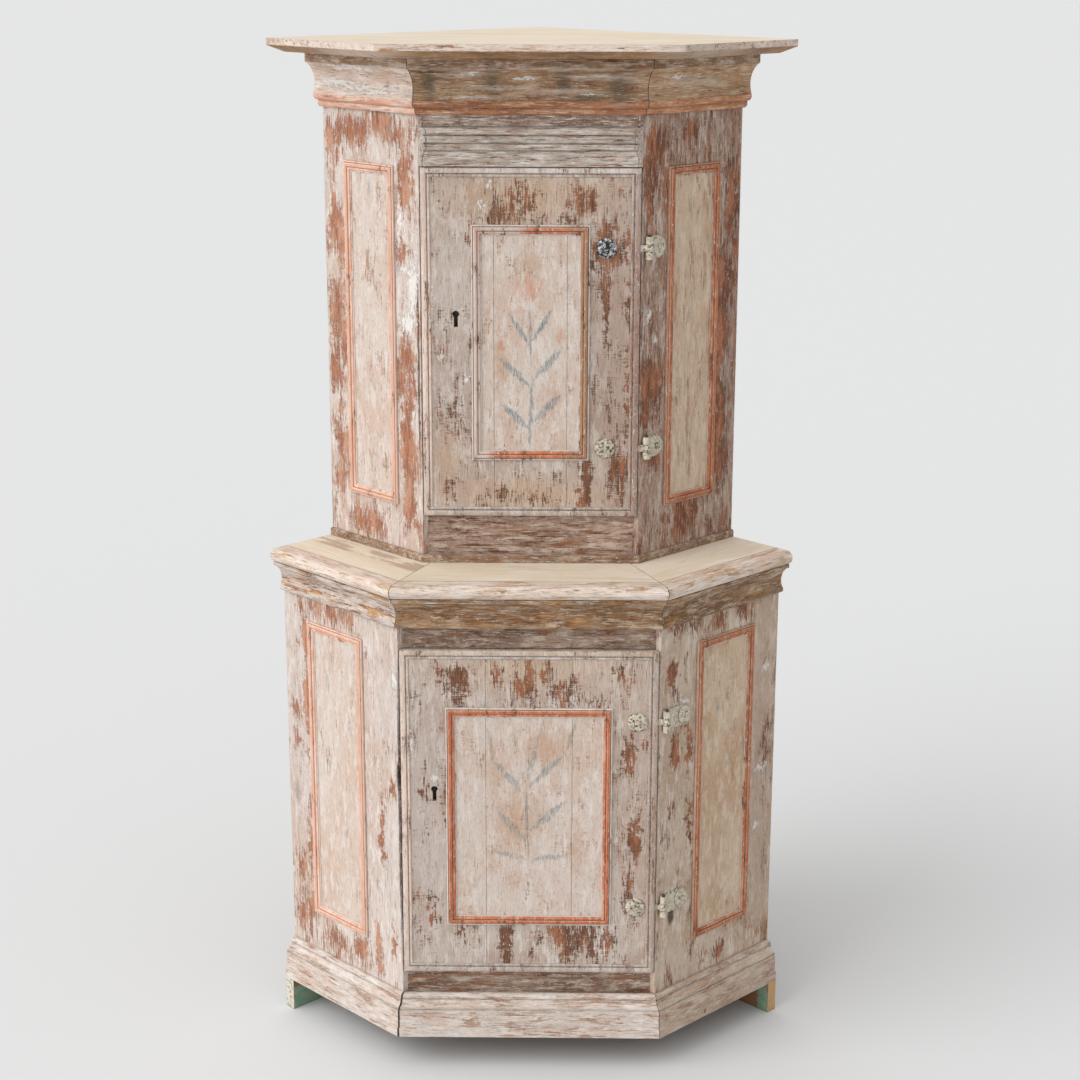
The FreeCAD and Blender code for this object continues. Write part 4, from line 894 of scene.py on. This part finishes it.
def paint_trim():
    """Paint of the plinth, waist, ledge, frieze, cornice and top board."""
    for side, plinth, waist, cornice, bed, seed in (
            ("left", PLINTH_WHITE, (PINKISH, 0.30), (CREAM, 0.08, 0.16, LIGHT_RED), SALMON, 81.0),
            ("front", PLINTH_WHITE, (BROWN, 0.36), (CORNICE_BROWN, 0.12, 0.10, RED_BROWN), ORANGE, 91.0),
            ("right", WARM_GREY, (BROWN, 0.28), (TAN, 0.08, 0.09, DEEP_RED), BED_TAN, 101.0)):
        low, high = f"{side}_lower", f"{side}_upper"
        gape = seam = high_seam = None
        if side == "front":
            gape = (HALF_LOWER, PLANES[low], 3.2, 1.2)
            seam = (HALF_LOWER, PLANES[low], 1.0, 1.0)
            high_seam = (HALF_UPPER, PLANES[high], 1.0, 1.0)
        nail_hole = [(115, 72, 4, 4)] if side == "right" else ()
        rubbed = 0.12 if side == "left" else -0.05
        put(worn_paint(f"plinth_{side}_paint", low, "u", plinth, 0.25, 0.25, ROSE_WOOD, seed, PLINTH,
                       mitres=gape, dark=nail_hole), f"plinth_{side}")
        put(worn_paint(f"waist_{side}_paint", low, "u", *waist, 0.20, PINE, seed + 1, TRIM, mitres=seam),
            f"waist_moulding_{side}")
        put(worn_paint(f"ledge_{side}_paint", low, "u", CREAM, 0.22, 0.20, HONEY, seed + 2, TRIM,
                       top=(STRAW, PLANES[low] + RAIL_BACK, rubbed), mitres=seam), f"ledge_{side}")
        # The bed band is a coat of its own; the darker brown band along the top is painted shadow under the
        # top board
        put(worn_paint(f"cornice_{side}_paint", high, "u", *cornice, seed + 3, TRIM,
                       bands=[(1727, 1751, bed), (1806, 1826, BROWN)], mitres=high_seam,
                       **CORNICE_MARKS[side]), f"cornice_{side}")
    put(worn_paint("frieze_paint", "front_upper", "u", FRIEZE_GREY, 0.17, 0.23, RED_BROWN, 111.0, REEDED,
                   bands=[(1708, 1730, FASCIA)]),
        "frieze_moulding", "frieze_ears")
    put(worn_paint("base_strip_paint", "front_upper", "u", BROWN, 0.22, 0.24, RED_BROWN, 114.0, TRIM),
        "upper_base_moulding")
    put(worn_paint("top_board_paint", "front_upper", "u", EDGE_WOOD, 0.16, 0.14, PINE, 117.0, TRIM,
                   top=(STRAW, NO_LIMIT, -0.2), bands=[(1839, 1852, CREAM)],
                   tints=[([(-95, 1838, 70, 30)], CREAM[0], 0.8),
                          ([(480, 1838, 70, 30)], FRIEZE_GREY[0], 0.7)]),
        "top_board")


def dress_rest():
    """Bare wood inside and behind, the feet, the hinges and the locks."""
    backs = {"lower_back_left": ("right_lower", 121.0), "lower_back_right": ("left_lower", 121.3),
             "upper_back_left": ("right_upper", 121.5), "upper_back_right": ("left_upper", 121.8)}
    for name, (face, seed) in backs.items():
        first, last = span_of(name, face)[:2]
        put(bare_wood(f"{name}_pine", face, "z", seed, (first, (last - first) / BACK_BOARDS)), name)
    level = bare_wood("level_pine", "front_lower", "u", 124.0)
    put(level, "lower_floor", "lower_shelf", "lower_cleats", "ledge_infill", "lower_door_battens",
        "upper_door_battens", "upper_floor", "upper_shelf_low", "upper_shelf_high", "upper_cleats")
    put(runner_paint("left_runner_paint", "right_lower", "foot_left", -1, (0, 150), 46,
                     (CREAM[0], SAGE), 127.0), "foot_left")
    put(runner_paint("right_runner_paint", "left_lower", "foot_right", 1, (2, 26), 56,
                     (HONEY[0], TAN[0]), 129.0), "foot_right")
    for case, seed in (("lower", 136.0), ("upper", 146.0)):
        face = f"right_{case}"
        put(worn_paint(f"{case}_frame_leaf_paint", face, "z", WARM_GREY, seed=seed,
                       iron=(PLANES[face], NO_LIMIT, 0.25, seed + 5)), f"{case}_frame_hinge_leaves")
    put(old_iron("lock_iron", 134.0), "lower_hinge_pins", "upper_hinge_pins", "lower_lock_case",
        "upper_lock_case", "lower_lock_bolt", "upper_lock_bolt")


def make_camera():
    """The camera, where the photographer's stood."""
    data = bpy.data.cameras.new("camera")
    data.lens = CAMERA_LENS
    data.sensor_width = SENSOR
    camera = bpy.data.objects.new("camera", data)
    bpy.context.scene.collection.objects.link(camera)
    turn = (Matrix.Rotation(-CAMERA_YAW, 4, "Z") @ Matrix.Rotation(math.pi / 2 - CAMERA_TILT, 4, "X")
            @ Matrix.Rotation(CAMERA_ROLL, 4, "Z"))
    camera.matrix_world = Matrix.Translation(Vector(CAMERA_PLACE)) @ turn
    bpy.context.scene.camera = camera


def make_stage():
    """Pale floor, an even pale sky and one soft lamp from the left front."""
    mesh = bpy.data.meshes.new("floor")
    corners = [(x * FLOOR_REACH, y * FLOOR_REACH, 0) for x, y in ((-1, -1), (1, -1), (1, 1), (-1, 1))]
    mesh.from_pydata(corners, [], [(0, 1, 2, 3)])
    floor = bpy.data.objects.new("floor", mesh)
    bpy.context.scene.collection.objects.link(floor)
    material = bpy.data.materials.new("floor_paper")
    material.use_nodes = True
    shader = material.node_tree.nodes["Principled BSDF"]
    shader.inputs["Base Color"].default_value = FLOOR_PAPER
    shader.inputs["Roughness"].default_value = FLOOR_ROUGH
    mesh.materials.append(material)

    world = bpy.data.worlds.new("studio")
    world.use_nodes = True
    sky = Nodes(world.node_tree)
    background = sky.tree.nodes["Background"]
    towards = sky.vector("DOT_PRODUCT", sky.add("ShaderNodeTexCoord").outputs["Generated"], GLOW_FROM)
    glow = sky.math("MULTIPLY_ADD", towards, GLOW_GAIN, GLOW_BASE)
    path = sky.add("ShaderNodeLightPath").outputs
    seen = sky.math("MAXIMUM", path["Is Camera Ray"], path["Is Glossy Ray"])
    seen = sky.math("MAXIMUM", seen, path["Is Transmission Ray"])
    strength = sky.add("ShaderNodeMix")
    sky.wire(strength.inputs[0], seen)
    sky.wire(strength.inputs[BLEND_FIRST], glow)
    sky.wire(strength.inputs[BLEND_SECOND], BACKDROP)
    sky.wire(background.inputs["Strength"], strength.outputs[0])
    sky.wire(background.inputs["Color"], SKY_TONE)
    bpy.context.scene.world = world

    sun = bpy.data.lights.new("key", "SUN")
    sun.energy = KEY_ENERGY
    sun.angle = math.radians(KEY_SPREAD)
    key = bpy.data.objects.new("key", sun)
    key.rotation_euler = Vector(KEY_AIM).to_track_quat("-Z", "Y").to_euler()
    bpy.context.scene.collection.objects.link(key)
    bpy.context.scene.view_settings.view_transform = "Standard"


make_camera()
make_stage()
paint_case()
paint_trim()
dress_rest()
